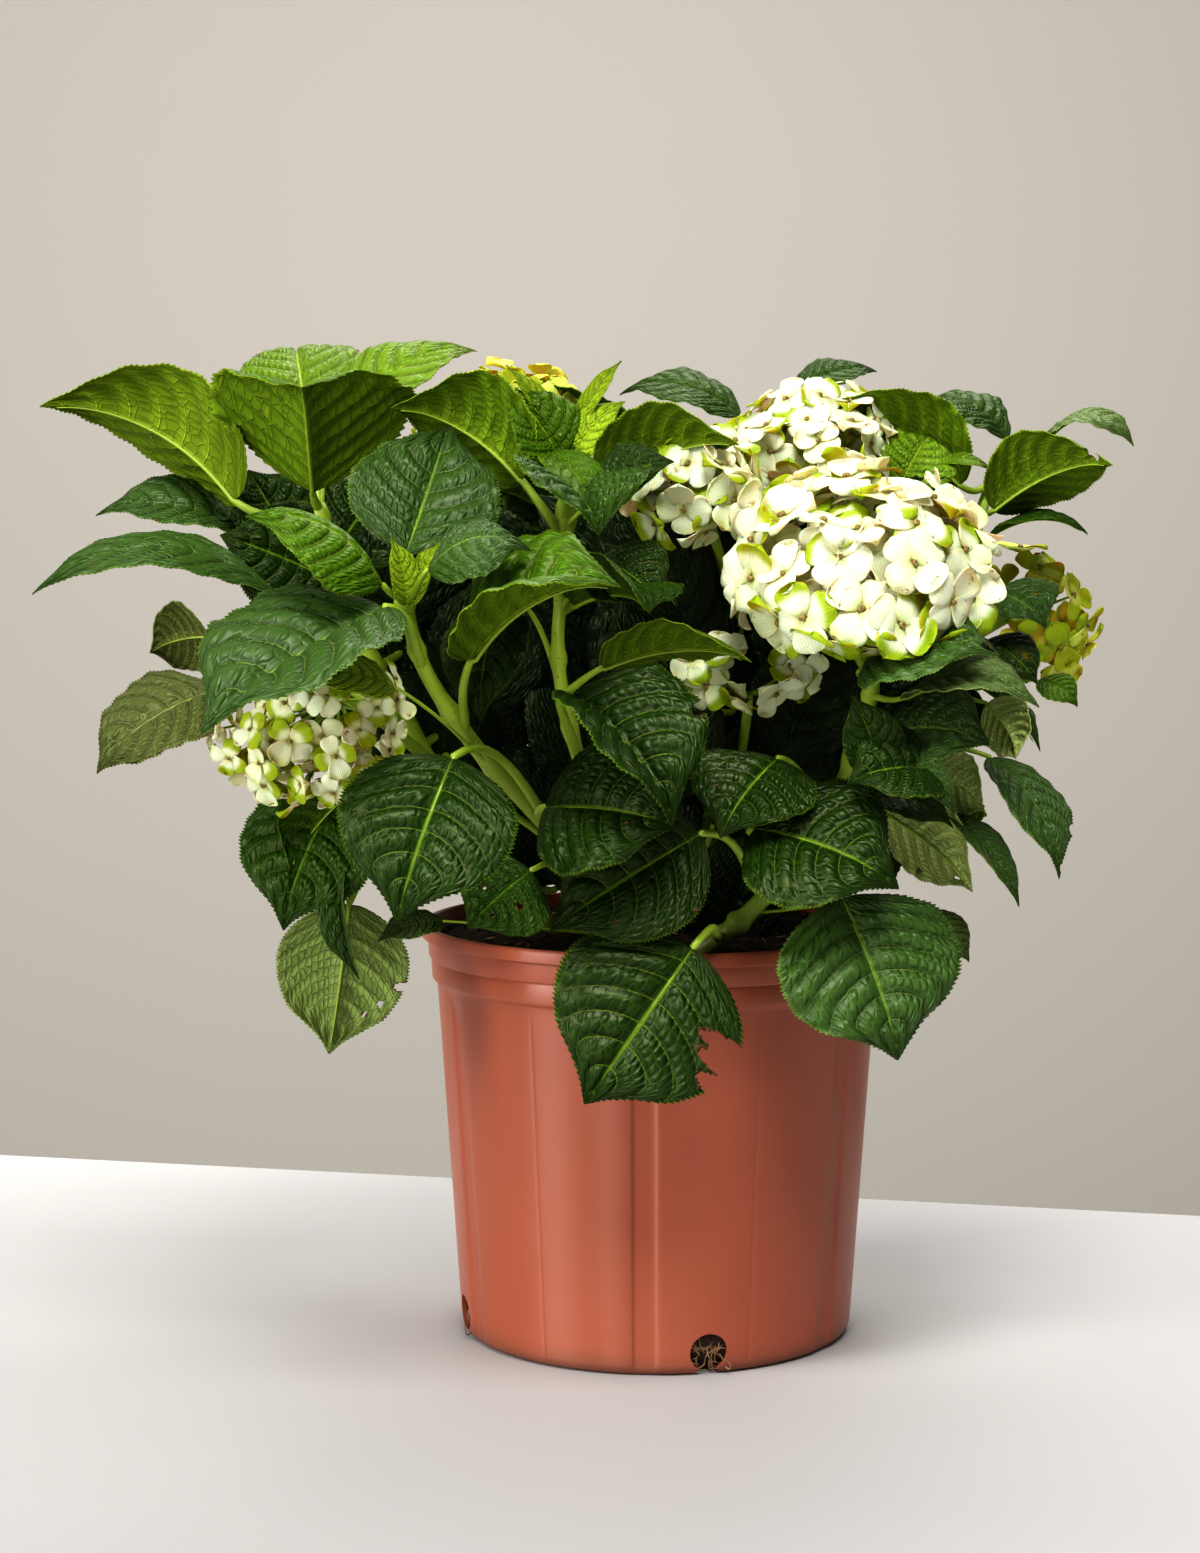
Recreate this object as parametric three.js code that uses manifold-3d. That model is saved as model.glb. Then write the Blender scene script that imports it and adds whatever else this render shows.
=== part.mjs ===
// Potted hydrangea: a thin-walled nursery pot, its soil, eight canes, seven
// flower heads and the leaves that hang over the rim.
// Millimetres, +Z up, origin at the centre of the pot's flat underside.
// The side with the fullest foliage faces -Y.
import * as THREE from 'three';
import { mergeVertices } from 'three/addons/utils/BufferGeometryUtils.js';
import Module from 'manifold-3d';

const wasm = await Module();
wasm.setup();

// Driving dimensions.

const rimRadius = 140;
const potHeight = 245;
const lipHeight = 8;
const collarBottom = 212;
const collarRadius = 134;
const bodyTopRadius = 130.5;
const bodyBottomRadius = 117.5;
const bodyBottom = 20;
const baseRadius = 109;
const baseRound = 7.5;
const wall = 2.4;
const potSides = 40;

const grooveCount = 6;
const grooveWidth = 14;
const grooveDepth = 1.3;
const grooveProud = 3;
const grooveStart = -93;

const drainCount = 4;
const drainDiameter = 22;
const drainCentre = 13.5;
const drainNeck = 11;
const drainFlare = 1.5;
const drainReach = 30;
const drainStart = -75;

const soilDrop = 9;
const soilMound = 5;
const soilSides = 24;

const caneRadius = 5.2;
const caneSides = 7;
const stalkRadius = 3.4;
const stalkSides = 6;
const petioleRadius = 2.2;
const petioleSides = 5;
const stalkSteps = 4;
const rootDepth = 25;

const dimpleDepth = 0.04;
const dimpleCount = 9;

const leafThickness = 1.2;
const leafRows = 5;
const leafColumns = 2;
const leafSag = 0.12;
const firstRow = 0.02;
const lastRow = 0.985;
// The outline's half width at share t is full * t^swell * (1 - t)^taper.
const blade = { full: 2.95, swell: 0.65, taper: 0.95 };

const gap = 0.4;

// Each cane is a curve through these points, from inside the soil to its tip.
const canes = {
  cane_left: [[-45, -10], [-60, -20, 240], [-120, -60, 330], [-168, -80, 420], [-192, -75, 492]],
  cane_front: [[-12, -40], [-18, -55, 240], [-42, -92, 290], [-68, -120, 322], [-102, -160, 367],
    [-126, -182, 410], [-134, -192, 445]],
  cane_centre: [[-5, -20], [-10, -35, 240], [-30, -95, 310], [-48, -130, 371], [-54, -138, 410],
    [-52, -122, 455], [-50, -108, 495]],
  cane_upper: [[20, 15], [24, 12, 240], [50, 0, 340], [75, -18, 430], [85, -25, 480]],
  cane_right: [[50, 10], [60, 12, 240], [115, 5, 330], [165, -5, 420], [186, -12, 480],
    [205, 0, 525]],
  cane_low: [[18, -86], [24, -92, 238], [43, -103, 255], [68, -108, 282], [98, -112, 325],
    [114, -122, 370], [120, -132, 405]],
  cane_back_left: [[-25, 35], [-32, 45, 240], [-65, 75, 340], [-88, 70, 440], [-97, 62, 490]],
  cane_back_right: [[15, 50], [20, 60, 240], [60, 100, 350], [95, 120, 440], [110, 125, 485]],
};

// Each flower head: the cane and place it branches from, its centre, its radius,
// the way its dome faces and the dome's height above and below its middle.
const heads = {
  head_front: ['cane_low', 0.98, [110, -150, 459], 73, [0.04, -0.58, 0.81], 0.66, 0.6],
  head_upper: ['cane_upper', 0.98, [90, -32, 517], 54, [0, -0.35, 0.95], 0.9, 0.7],
  head_middle: ['cane_upper', 0.6, [22, -100, 503], 37, [-0.3, -0.6, 0.7], 0.8, 0.5],
  head_right: ['cane_right', 0.6, [222, 10, 432], 47, [0.6, -0.6, 0.4], 0.8, 0.5],
  head_left: ['cane_left', 0.5, [-189, -165, 389], 64, [-0.45, -0.8, 0.1], 0.78, 0.5],
  head_low: ['cane_upper', 0.4, [52, -85, 405], 46, [0, -0.35, 0.95], 0.6, 0.55],
  head_back: ['cane_back_left', 0.98, [-94, 60, 535], 52, [-0.1, -0.1, 0.98], 0.8, 0.5],
};

// Each leaf: the cane and place its stalk leaves, the base and tip of its blade,
// its width, the way its upper side faces, how far its midrib arches towards
// that side and how many degrees each half folds up about the midrib.
const leaves = {
  // far left
  left_high: ['cane_left', 0.97, [-236, -85, 493], [-346, -95, 550], 84, [-0.2, 0.6, 0.75], 22, 30],
  left_cupped: ['cane_left', 0.99, [-193, -90, 498], [-190, -165, 561], 142, [0, 0.63, 0.78], 3, 38],
  left_bright: ['cane_left', 0.99, [-185, -45, 538], [-105, -5, 584], 62, [-0.3, -0.55, 0.8], 12, 12],
  left_rear: ['cane_left', 0.99, [-202, -42, 545], [-218, 52, 584], 72, [-0.1, -0.3, 0.95], 12, 6],
  left_grey: ['cane_left', 0.9, [-236, -50, 478], [-320, -70, 488], 54, [0, -0.5, 0.87], 10, 16],
  left_long: ['cane_left', 0.8, [-212, -105, 443], [-342, -150, 446], 60, [0, -0.35, 0.93], 26, 6],
  left_shade: ['cane_left', 0.88, [-182, -70, 448], [-245, -95, 476], 70, [-0.2, -0.8, 0.3], 6, 10],
  left_pale: ['cane_left', 0.6, [-240, -140, 392], [-306, -165, 349], 74, [-0.2, -0.55, 0.8], 8, 8],
  left_low: ['cane_left', 0.5, [-176, -110, 336], [-208, -140, 258], 86, [-0.3, -0.85, 0.3], 8, 6],
  left_under: ['cane_left', 0.42, [-172, -112, 270], [-182, -130, 186], 74, [0.05, 0.95, 0.2], 6, 8],
  // front left
  front_side: ['cane_front', 0.99, [-143, -212, 451], [-212, -242, 490], 62, [0.1, -0.5, 0.85], 15, -20],
  front_upright: ['cane_front', 0.98, [-134, -180, 466], [-114, -115, 539], 84, [0.1, -0.9, 0.42], -3, 14],
  front_small: ['cane_front', 0.98, [-120, -215, 459], [-64, -215, 471], 54, [-0.1, -0.55, 0.85], 14, -8],
  front_big: ['cane_front', 0.86, [-142, -215, 440], [-230, -290, 383], 113, [-0.15, -0.42, 0.9], 4, 19],
  front_folded: ['cane_front', 0.72, [-98, -205, 411], [-19, -235, 456], 112, [-0.25, -0.3, 0.92], 12, 34],
  front_low: ['cane_front', 0.36, [-106, -225, 362], [-134, -262, 280], 94, [-0.1, -0.95, 0.3], 8, 8],
  // middle
  middle_low: ['cane_centre', 0.38, [-60, -190, 332], [12, -220, 326], 88, [0, -0.82, 0.55], 8, 12],
  middle_turned: ['cane_centre', 0.55, [-46, -190, 392], [11, -235, 329], 100, [0.5, -0.7, 0.6], 8, 38],
  middle_bottom: ['cane_low', 0.35, [24, -170, 316], [-57, -202, 268], 76, [0.15, -0.9, 0.4], 6, 6],
  middle_round: ['cane_front', 0.3, [-67, -188, 298], [-101, -203, 269], 58, [-0.1, -0.9, 0.4], 4, 6],
  middle_corner: ['cane_low', 0.6, [66, -150, 355], [33, -190, 317], 72, [-0.1, -0.7, 0.7], 6, 8],
  middle_flat: ['cane_centre', 0.66, [-30, -150, 404], [52, -180, 412], 64, [0, 0.38, 0.92], 8, 16],
  middle_under: ['cane_centre', 0.8, [-46, -130, 437], [-2, -210, 440], 82, [0.1, 0.5, 0.85], 8, 30],
  // above the middle
  top_left: ['cane_centre', 0.93, [-74, -115, 505], [-147, -125, 548], 80, [-0.2, 0.55, 0.8], 12, 24],
  top_right: ['cane_centre', 0.98, [-32, -112, 500], [46, -132, 528], 72, [0.1, 0.6, 0.8], 10, 20],
  top_front: ['cane_centre', 0.96, [-50, -132, 500], [-30, -195, 480], 88, [0.05, -0.15, 0.98], 5, 34],
  top_back: ['cane_upper', 0.8, [50, 35, 544], [-24, 45, 559], 50, [0, -0.4, 0.9], 12, 8],
  // right
  right_arching: ['cane_right', 0.93, [176, -30, 502], [96, -55, 552], 68, [0.1, 0.6, 0.8], 9, 22],
  right_back: ['cane_right', 0.99, [208, 20, 530], [157, 35, 552], 58, [0.1, -0.3, 0.95], 10, 10],
  right_under: ['cane_right', 0.9, [192, -45, 488], [256, -85, 517], 66, [0.25, 0.5, 0.8], 10, 22],
  right_far: ['cane_right', 0.98, [228, 10, 529], [279, -15, 527], 54, [0.1, -0.25, 0.95], 16, 6],
  right_between: ['cane_right', 0.66, [188, -62, 442], [217, -105, 426], 56, [0.2, -0.75, 0.6], 6, 8],
  right_curled: ['cane_low', 0.98, [110, -155, 403], [182, -195, 416], 72, [0.1, -0.6, 0.8], 13, 8],
  right_spread: ['cane_low', 0.92, [134, -150, 388], [204, -190, 388], 56, [0.1, -0.35, 0.9], 12, 16],
  right_glossy: ['cane_low', 0.85, [124, -125, 366], [180, -165, 366], 70, [0.1, -0.75, 0.65], 8, 8],
  right_hanging: ['cane_low', 0.8, [186, -105, 352], [223, -140, 288], 50, [0.5, -0.5, 0.7], 10, 10],
  right_light: ['cane_low', 0.7, [122, -105, 324], [177, -130, 280], 60, [0.35, 0.7, 0.5], 6, 10],
  right_bottom: ['cane_low', 0.5, [52, -165, 318], [130, -202, 292], 92, [0.1, -0.78, 0.62], 10, 8],
  // over the pot
  pot_front: ['cane_low', 0.2, [20, -188, 257], [-39, -208, 174], 106, [0, -1, 0.15], 7, 4],
  pot_right: ['cane_low', 0.36, [100, -164, 281], [132, -188, 195], 106, [0.3, -0.9, 0.25], 7, 6],
  // back
  back_high: ['cane_back_left', 0.9, [-120, 110, 480], [-185, 165, 515], 92, [-0.2, 0.4, 0.9], 14, 16],
  back_wide: ['cane_back_left', 0.6, [-100, 130, 390], [-160, 215, 375], 104, [-0.4, 0.5, 0.75], 18, 10],
  back_side: ['cane_back_right', 0.75, [125, 150, 410], [185, 225, 390], 104, [0.5, 0.4, 0.75], 18, 8],
};

const point = (xyz) => new THREE.Vector3(xyz[0], xyz[1], xyz[2]);

function solidOf(geometry) {
  const bare = geometry.clone();
  bare.deleteAttribute('normal');
  bare.deleteAttribute('uv');
  const merged = mergeVertices(bare);
  return new wasm.Manifold(new wasm.Mesh({
    numProp: 3,
    vertProperties: new Float32Array(merged.attributes.position.array),
    triVerts: new Uint32Array(merged.index.array),
  }));
}

function geometryOf(solid) {
  const mesh = solid.getMesh();
  const geometry = new THREE.BufferGeometry();
  geometry.setAttribute('position', new THREE.BufferAttribute(mesh.vertProperties, 3));
  geometry.setIndex(new THREE.BufferAttribute(mesh.triVerts, 1));
  return geometry;
}

// A round profile [radius, height] turned about +Z.
function turned(profile, sides) {
  const points = profile.map(([radius, height]) => new THREE.Vector2(radius, height));
  return solidOf(new THREE.LatheGeometry(points, sides).rotateX(Math.PI / 2));
}

// A round bar along a curve.
function bar(curve, radius, sides, steps) {
  const outline = new THREE.Shape();
  for (let i = 0; i < sides; i += 1) {
    const angle = 2 * Math.PI * i / sides;
    outline[i ? 'lineTo' : 'moveTo'](radius * Math.cos(angle), radius * Math.sin(angle));
  }
  outline.closePath();
  const options = { steps, extrudePath: curve, bevelEnabled: false };
  return solidOf(new THREE.ExtrudeGeometry(outline, options));
}

function boxesMeet(a, b) {
  const [p, q] = [a.boundingBox(), b.boundingBox()];
  return [0, 1, 2].every((i) => p.min[i] < q.max[i] && q.min[i] < p.max[i]);
}

function largestBody(solid) {
  return solid.decompose().reduce((best, body) => (body.volume() > best.volume() ? body : best));
}

// The outer outline from the middle of the underside up to the rolled lip.
function outerProfile() {
  const profile = [[0, 0], [baseRadius, 0]];
  for (const degrees of [30, 60, 90]) {
    const angle = THREE.MathUtils.degToRad(degrees);
    profile.push([baseRadius + baseRound * Math.sin(angle), baseRound * (1 - Math.cos(angle))]);
  }
  profile.push([bodyBottomRadius, bodyBottom]);
  profile.push([bodyTopRadius, collarBottom - 1.5]);
  profile.push([collarRadius - 1, collarBottom]);
  profile.push([collarRadius, collarBottom + 12]);
  profile.push([collarRadius + 1.5, collarBottom + 14]);
  profile.push([collarRadius + 2, potHeight - lipHeight - 1]);
  profile.push([rimRadius, potHeight - lipHeight]);
  profile.push([rimRadius, potHeight - 2]);
  profile.push([rimRadius - 2, potHeight]);
  return profile;
}

// The inner outline from the lip down to the middle of the floor.
function innerProfile(offset) {
  return [
    [rimRadius - 4.5 - offset, potHeight],
    [collarRadius + 1 - wall - offset, collarBottom + 13],
    [collarRadius - 1 - wall - offset, collarBottom - 2],
    [bodyTopRadius - wall - offset, collarBottom - 5],
    [bodyBottomRadius - wall - offset, bodyBottom],
    [baseRadius + 3.5 - offset, 6],
    [baseRadius - 2 - offset, wall + offset],
    [0, wall + offset],
  ];
}

// The cutter for a flat upright groove that leans with the wall.
function groove(angle) {
  const [low, high] = [bodyBottom - 12, collarBottom - 4];
  const slope = (bodyTopRadius - bodyBottomRadius) / (collarBottom - bodyBottom);
  const strip = new THREE.BoxGeometry(grooveProud + grooveDepth, grooveWidth, high - low);
  strip.rotateY(Math.atan(slope));
  const middle = (low + high) / 2;
  const surface = bodyBottomRadius + slope * (middle - bodyBottom);
  strip.translate(surface + (grooveProud - grooveDepth) / 2, 0, middle);
  strip.rotateZ(THREE.MathUtils.degToRad(angle));
  return solidOf(strip);
}

// A round hole low in the wall whose neck runs out under the bottom edge.
function drain(angle) {
  const outline = new THREE.Shape();
  const half = drainNeck / 2;
  const reach = Math.sqrt((drainDiameter / 2) ** 2 - half ** 2);
  const start = Math.atan2(-reach, half);
  outline.moveTo(-half - drainFlare, -drainFlare);
  outline.lineTo(half + drainFlare, -drainFlare);
  outline.lineTo(half, drainCentre - reach);
  outline.absarc(0, drainCentre, drainDiameter / 2, start, Math.PI - start, false);
  outline.closePath();
  const options = { depth: drainReach, bevelEnabled: false, curveSegments: 7 };
  const cut = new THREE.ExtrudeGeometry(outline, options);
  cut.rotateX(Math.PI / 2);
  cut.rotateZ(Math.PI / 2);
  cut.translate(bodyBottomRadius - drainReach / 2, 0, 0);
  cut.rotateZ(THREE.MathUtils.degToRad(angle));
  return solidOf(cut);
}

function pot() {
  let shell = turned([...outerProfile(), ...innerProfile(0)], potSides);
  for (let i = 0; i < grooveCount; i += 1) {
    shell = shell.subtract(groove(grooveStart + 360 * i / grooveCount));
  }
  for (let i = 0; i < drainCount; i += 1) {
    shell = shell.subtract(drain(drainStart + 360 * i / drainCount));
  }
  return shell;
}

function soil() {
  const surface = potHeight - soilDrop;
  const side = innerProfile(gap).slice(1).filter(([, height]) => height < surface - 3);
  const profile = [[0, surface + soilMound], [70, surface + soilMound - 1]];
  profile.push([112, surface + 1], [collarRadius + 1 - wall - gap, surface]);
  return turned([...profile, ...side].reverse(), soilSides);
}

function caneCurve(name) {
  const bottom = potHeight - soilDrop - rootDepth;
  return new THREE.CatmullRomCurve3(canes[name].map(([x, y, z = bottom]) => point([x, y, z])));
}

function cane(name, extra) {
  return bar(caneCurve(name), caneRadius + extra, caneSides, 2 * (canes[name].length - 1));
}

// A soft dome: flatter underneath, with shallow dimples between its florets.
function dome(centre, radius, facing, above, below) {
  const shape = new THREE.IcosahedronGeometry(1, 2);
  const turn = new THREE.Quaternion().setFromUnitVectors(new THREE.Vector3(0, 0, 1), facing);
  const place = shape.attributes.position;
  for (let i = 0; i < place.count; i += 1) {
    const p = new THREE.Vector3().fromBufferAttribute(place, i).normalize();
    const dimple = 1 + dimpleDepth * Math.sin(dimpleCount * p.x) * Math.sin(dimpleCount * p.y + 2 * p.z);
    p.z *= p.z > 0 ? above : below;
    p.multiplyScalar(radius * dimple).applyQuaternion(turn).add(centre);
    place.setXYZ(i, p.x, p.y, p.z);
  }
  return solidOf(shape);
}

function head(name, extra) {
  const [caneName, at, centre, radius, facing, above, below] = heads[name];
  const middle = point(centre);
  const up = point(facing).normalize();
  const foot = caneCurve(caneName).getPointAt(at);
  const bend = middle.clone().addScaledVector(up, -0.9 * radius);
  const stalk = new THREE.QuadraticBezierCurve3(foot, bend, middle);
  const flowers = dome(middle, radius + extra, up, above, below);
  return flowers.add(bar(stalk, stalkRadius + extra, stalkSides, stalkSteps));
}

// Straight out of the blade's upper side, square to the line from base to tip.
function upperSide(base, tip, face) {
  const along = tip.clone().sub(base).normalize();
  return face.clone().addScaledVector(along, -face.dot(along)).normalize();
}

// A leaf blade: a thin pointed oval bent along its midrib and folded about it.
function bladeSolid(midrib, up, width, fold, extra) {
  const shape = new THREE.BoxGeometry(1, 2, 1, leafRows, leafColumns, 1);
  const place = shape.attributes.position;
  const lift = Math.sin(THREE.MathUtils.degToRad(fold));
  const spread = Math.cos(THREE.MathUtils.degToRad(fold));
  for (let i = 0; i < place.count; i += 1) {
    const t = firstRow + (lastRow - firstRow) * (place.getX(i) + 0.5);
    const side = place.getY(i);
    const along = midrib.getTangent(t);
    const out = up.clone().addScaledVector(along, -up.dot(along)).normalize();
    const across = out.clone().cross(along);
    const half = width / 2 * blade.full * t ** blade.swell * (1 - t) ** blade.taper + extra;
    const rise = half * (lift * Math.abs(side) - leafSag * side * side);
    const p = midrib.getPoint(t).addScaledVector(across, half * spread * side);
    p.addScaledVector(out, rise + place.getZ(i) * (leafThickness + 2 * extra));
    place.setXYZ(i, p.x, p.y, p.z);
  }
  return solidOf(shape);
}

function leaf(name, extra) {
  const [caneName, at, from, to, width, face, arch, fold] = leaves[name];
  const [base, tip] = [point(from), point(to)];
  const up = upperSide(base, tip, point(face));
  const top = base.clone().lerp(tip, 0.5).addScaledVector(up, 2 * arch);
  const midrib = new THREE.QuadraticBezierCurve3(base, top, tip);
  const foot = caneCurve(caneName).getPointAt(at);
  const reach = foot.distanceTo(base);
  const enter = base.clone().addScaledVector(midrib.getTangent(0), -0.45 * reach);
  const leave = foot.clone().lerp(base, 0.3);
  const inside = midrib.getPoint(0.12);
  const stalk = new THREE.CurvePath();
  stalk.add(new THREE.CubicBezierCurve3(foot, leave, enter, base));
  stalk.add(new THREE.LineCurve3(base, inside));
  const petiole = bar(stalk, petioleRadius + extra, petioleSides, stalkSteps);
  return bladeSolid(midrib, up, width, fold, extra).add(petiole);
}

const finishes = {
  pot: { color: 0xb4603f, roughness: 0.42, metalness: 0 },
  soil: { color: 0x3b2a1f, roughness: 0.95, metalness: 0 },
  cane: { color: 0x8aa63c, roughness: 0.55, metalness: 0 },
  head: { color: 0xf3f0cf, roughness: 0.7, metalness: 0 },
  leaf: { color: 0x2c5a26, roughness: 0.45, metalness: 0 },
};

const plant = new THREE.Group();

function addPiece(name, solid, finish) {
  const mesh = new THREE.Mesh(geometryOf(solid), new THREE.MeshStandardMaterial(finishes[finish]));
  mesh.name = name;
  plant.add(mesh);
}

// Pieces placed so far, each a little oversize, to keep the next ones clear.
const taken = [];

function clearOfTaken(solid) {
  let clear = solid;
  for (const other of taken) {
    if (boxesMeet(clear, other)) {
      clear = clear.subtract(other);
    }
  }
  return largestBody(clear);
}

function grow(name, make, finish) {
  addPiece(name, clearOfTaken(make(0)), finish);
  taken.push(make(gap));
}

addPiece('pot', pot(), 'pot');

let ground = soil();
for (const name of Object.keys(canes)) {
  ground = ground.subtract(cane(name, gap));
}
addPiece('potting_soil', ground, 'soil');

for (const name of Object.keys(canes)) {
  grow(name, (extra) => cane(name, extra), 'cane');
}
for (const name of Object.keys(heads)) {
  grow(name, (extra) => head(name, extra), 'head');
}
for (const name of Object.keys(leaves)) {
  grow(`leaf_${name}`, (extra) => leaf(name, extra), 'leaf');
}

export default plant;
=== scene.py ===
import math
import random
from collections import namedtuple

import bpy
import numpy as np
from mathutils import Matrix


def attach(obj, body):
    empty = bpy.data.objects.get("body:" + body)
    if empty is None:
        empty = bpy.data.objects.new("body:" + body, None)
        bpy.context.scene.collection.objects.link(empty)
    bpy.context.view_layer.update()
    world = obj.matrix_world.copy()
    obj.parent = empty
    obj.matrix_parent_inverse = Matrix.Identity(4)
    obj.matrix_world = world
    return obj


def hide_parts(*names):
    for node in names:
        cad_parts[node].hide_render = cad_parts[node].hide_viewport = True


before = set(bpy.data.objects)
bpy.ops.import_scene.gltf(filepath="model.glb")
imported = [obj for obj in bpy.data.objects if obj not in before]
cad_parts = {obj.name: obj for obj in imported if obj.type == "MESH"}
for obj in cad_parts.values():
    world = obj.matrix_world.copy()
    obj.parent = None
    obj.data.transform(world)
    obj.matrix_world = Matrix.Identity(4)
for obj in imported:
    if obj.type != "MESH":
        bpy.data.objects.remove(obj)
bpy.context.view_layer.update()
mm = 0.001
print("frame loaded:", len(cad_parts), "nodes")


# shader helpers: a wrapped socket does sums, and a finish adds any other node

class Amount:
    def __init__(self, tree, socket):
        self.tree = tree
        self.socket = socket

    def sum(self, operation, a, b=0.0):
        step = self.tree.nodes.new("ShaderNodeMath")
        step.operation = operation
        plug(self.tree, step.inputs[0], a)
        plug(self.tree, step.inputs[1], b)
        return Amount(self.tree, step.outputs[0])

    def __add__(self, other):
        return self.sum("ADD", self, other)

    def __radd__(self, other):
        return self.sum("ADD", other, self)

    def __sub__(self, other):
        return self.sum("SUBTRACT", self, other)

    def __rsub__(self, other):
        return self.sum("SUBTRACT", other, self)

    def __mul__(self, other):
        return self.sum("MULTIPLY", self, other)

    def __rmul__(self, other):
        return self.sum("MULTIPLY", other, self)

    def __pow__(self, other):
        return self.sum("POWER", self, other)

    def __abs__(self):
        return self.sum("ABSOLUTE", self)


def plug(tree, spot, value):
    if isinstance(value, Amount):
        tree.links.new(value.socket, spot)
    elif isinstance(value, (tuple, list)):
        spot.default_value = list(value) + [1.0] * (len(spot.default_value) - len(value))
    else:
        spot.default_value = value


class Finish:
    def __init__(self, name, **constants):
        self.material = bpy.data.materials.new(name)
        self.material.use_nodes = True
        self.tree = self.material.node_tree
        self.shader = self.tree.nodes["Principled BSDF"]
        for socket, value in constants.items():
            plug(self.tree, self.shader.inputs[socket.replace("_", " ")], value)

    def add(self, kind, settings=None, inputs=None, output=0):
        node = self.tree.nodes.new(kind)
        for key, value in (settings or {}).items():
            setattr(node, key, value)
        for key, value in (inputs or {}).items():
            plug(self.tree, node.inputs[key], value)
        return Amount(self.tree, node.outputs[output])

    def between(self, mask, low, high):
        # 0 below low, 1 above high, smooth between
        return self.add("ShaderNodeMapRange", {"interpolation_type": "SMOOTHSTEP"},
                        {"Value": mask, "From Min": low, "From Max": high})

    def blend(self, mask, a, b, mode="MIX"):
        return self.add("ShaderNodeMix", {"data_type": "RGBA", "blend_type": mode},
                        {0: mask, 6: a, 7: b}, 2)

    def noise(self, scale, detail, at, roughness=0.5):
        return self.add("ShaderNodeTexNoise", None,
                        {"Scale": scale, "Detail": detail, "Roughness": roughness, "Vector": at})

    def part(self, vector, axis):
        return self.add("ShaderNodeSeparateXYZ", None, {"Vector": vector}, axis)

    def objectSpot(self):
        return self.add("ShaderNodeTexCoord", None, None, "Object")

    def use(self, socket, value):
        plug(self.tree, self.shader.inputs[socket], value)

    def bump(self, height, strength, distance):
        return self.add("ShaderNodeBump", None,
                        {"Height": height, "Strength": strength, "Distance": distance})


# mesh helpers

def makePiece(name, points, faces, materials, slots=None, uv=None, shades=None, smooth=True):
    mesh = bpy.data.meshes.new(name)
    mesh.from_pydata(np.asarray(points).tolist(), [], faces)
    for material in materials:
        mesh.materials.append(material)
    if slots is not None:
        mesh.polygons.foreach_set("material_index", np.asarray(slots, dtype=np.int32))
    corners = np.empty(len(mesh.loops), dtype=np.int32)
    mesh.loops.foreach_get("vertex_index", corners)
    if uv is not None:
        layer = mesh.uv_layers.new(name="growth")
        layer.data.foreach_set("uv", np.asarray(uv, dtype=np.float32)[corners].ravel())
    if shades is not None:
        layer = mesh.attributes.new("shade", "FLOAT_COLOR", "POINT")
        layer.data.foreach_set("color", np.asarray(shades, dtype=np.float32).ravel())
    mesh.polygons.foreach_set("use_smooth", [smooth] * len(mesh.polygons))
    mesh.update()
    piece = bpy.data.objects.new(name, mesh)
    bpy.context.scene.collection.objects.link(piece)
    return piece


class Heap:
    # gathers many small shapes into one mesh
    def __init__(self):
        self.points = []
        self.faces = []
        self.slots = []
        self.uv = []
        self.shades = []
        self.count = 0

    def put(self, points, faces, slot=0, uv=None, shades=None):
        points = np.asarray(points, dtype=float)
        self.points.append(points)
        self.faces += [tuple(corner + self.count for corner in face) for face in faces]
        self.slots += [slot] * len(faces) if np.isscalar(slot) else list(slot)
        self.uv.append(np.zeros((len(points), 2)) if uv is None else np.asarray(uv))
        self.shades.append(np.zeros((len(points), 4)) if shades is None else np.asarray(shades))
        self.count += len(points)

    def putBar(self, line, radii, sides, slot=0, squash=1.0):
        points, faces, uv = tube(line, radii, sides, squash)
        self.put(points * mm, faces, slot, uv)

    def make(self, name, materials):
        return makePiece(name, np.concatenate(self.points), self.faces, materials, self.slots,
                         np.concatenate(self.uv), np.concatenate(self.shades))


def unit(v):
    v = np.asarray(v, dtype=float)
    return v / np.maximum(np.linalg.norm(v, axis=-1, keepdims=True), 1e-12)


def smoothLine(points, count):
    # a curve through the points, Catmull-Rom with centripetal spacing
    points = np.asarray(points, dtype=float)
    ends = np.vstack([2 * points[0] - points[1], points, 2 * points[-1] - points[-2]])
    line = []
    for i in range(len(points) - 1):
        p = ends[i:i + 4]
        knots = np.concatenate([[0], np.cumsum(np.linalg.norm(np.diff(p, axis=0), axis=1) ** 0.5)])
        for u in np.linspace(knots[1], knots[2], count, endpoint=False):
            a = [p[k] + (p[k + 1] - p[k]) * (u - knots[k]) / (knots[k + 1] - knots[k]) for k in range(3)]
            b = [a[k] + (a[k + 1] - a[k]) * (u - knots[k]) / (knots[k + 2] - knots[k]) for k in range(2)]
            line.append(b[0] + (b[1] - b[0]) * (u - knots[1]) / (knots[2] - knots[1]))
    line.append(points[-1])
    return np.array(line)


def arch(start, middle, end, count):
    # a curve from start to end, drawn towards middle
    u = np.linspace(0, 1, count)[:, None]
    return (1 - u) ** 2 * start + 2 * u * (1 - u) * middle + u ** 2 * end


def anyWay(dice):
    return np.array([dice.uniform(-1, 1) for _ in range(3)])


def alongLine(line, share):
    steps = np.linalg.norm(np.diff(line, axis=0), axis=1)
    reach = np.concatenate([[0], np.cumsum(steps)]) / steps.sum()
    return np.array([np.interp(share, reach, line[:, k]) for k in range(3)])


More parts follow.
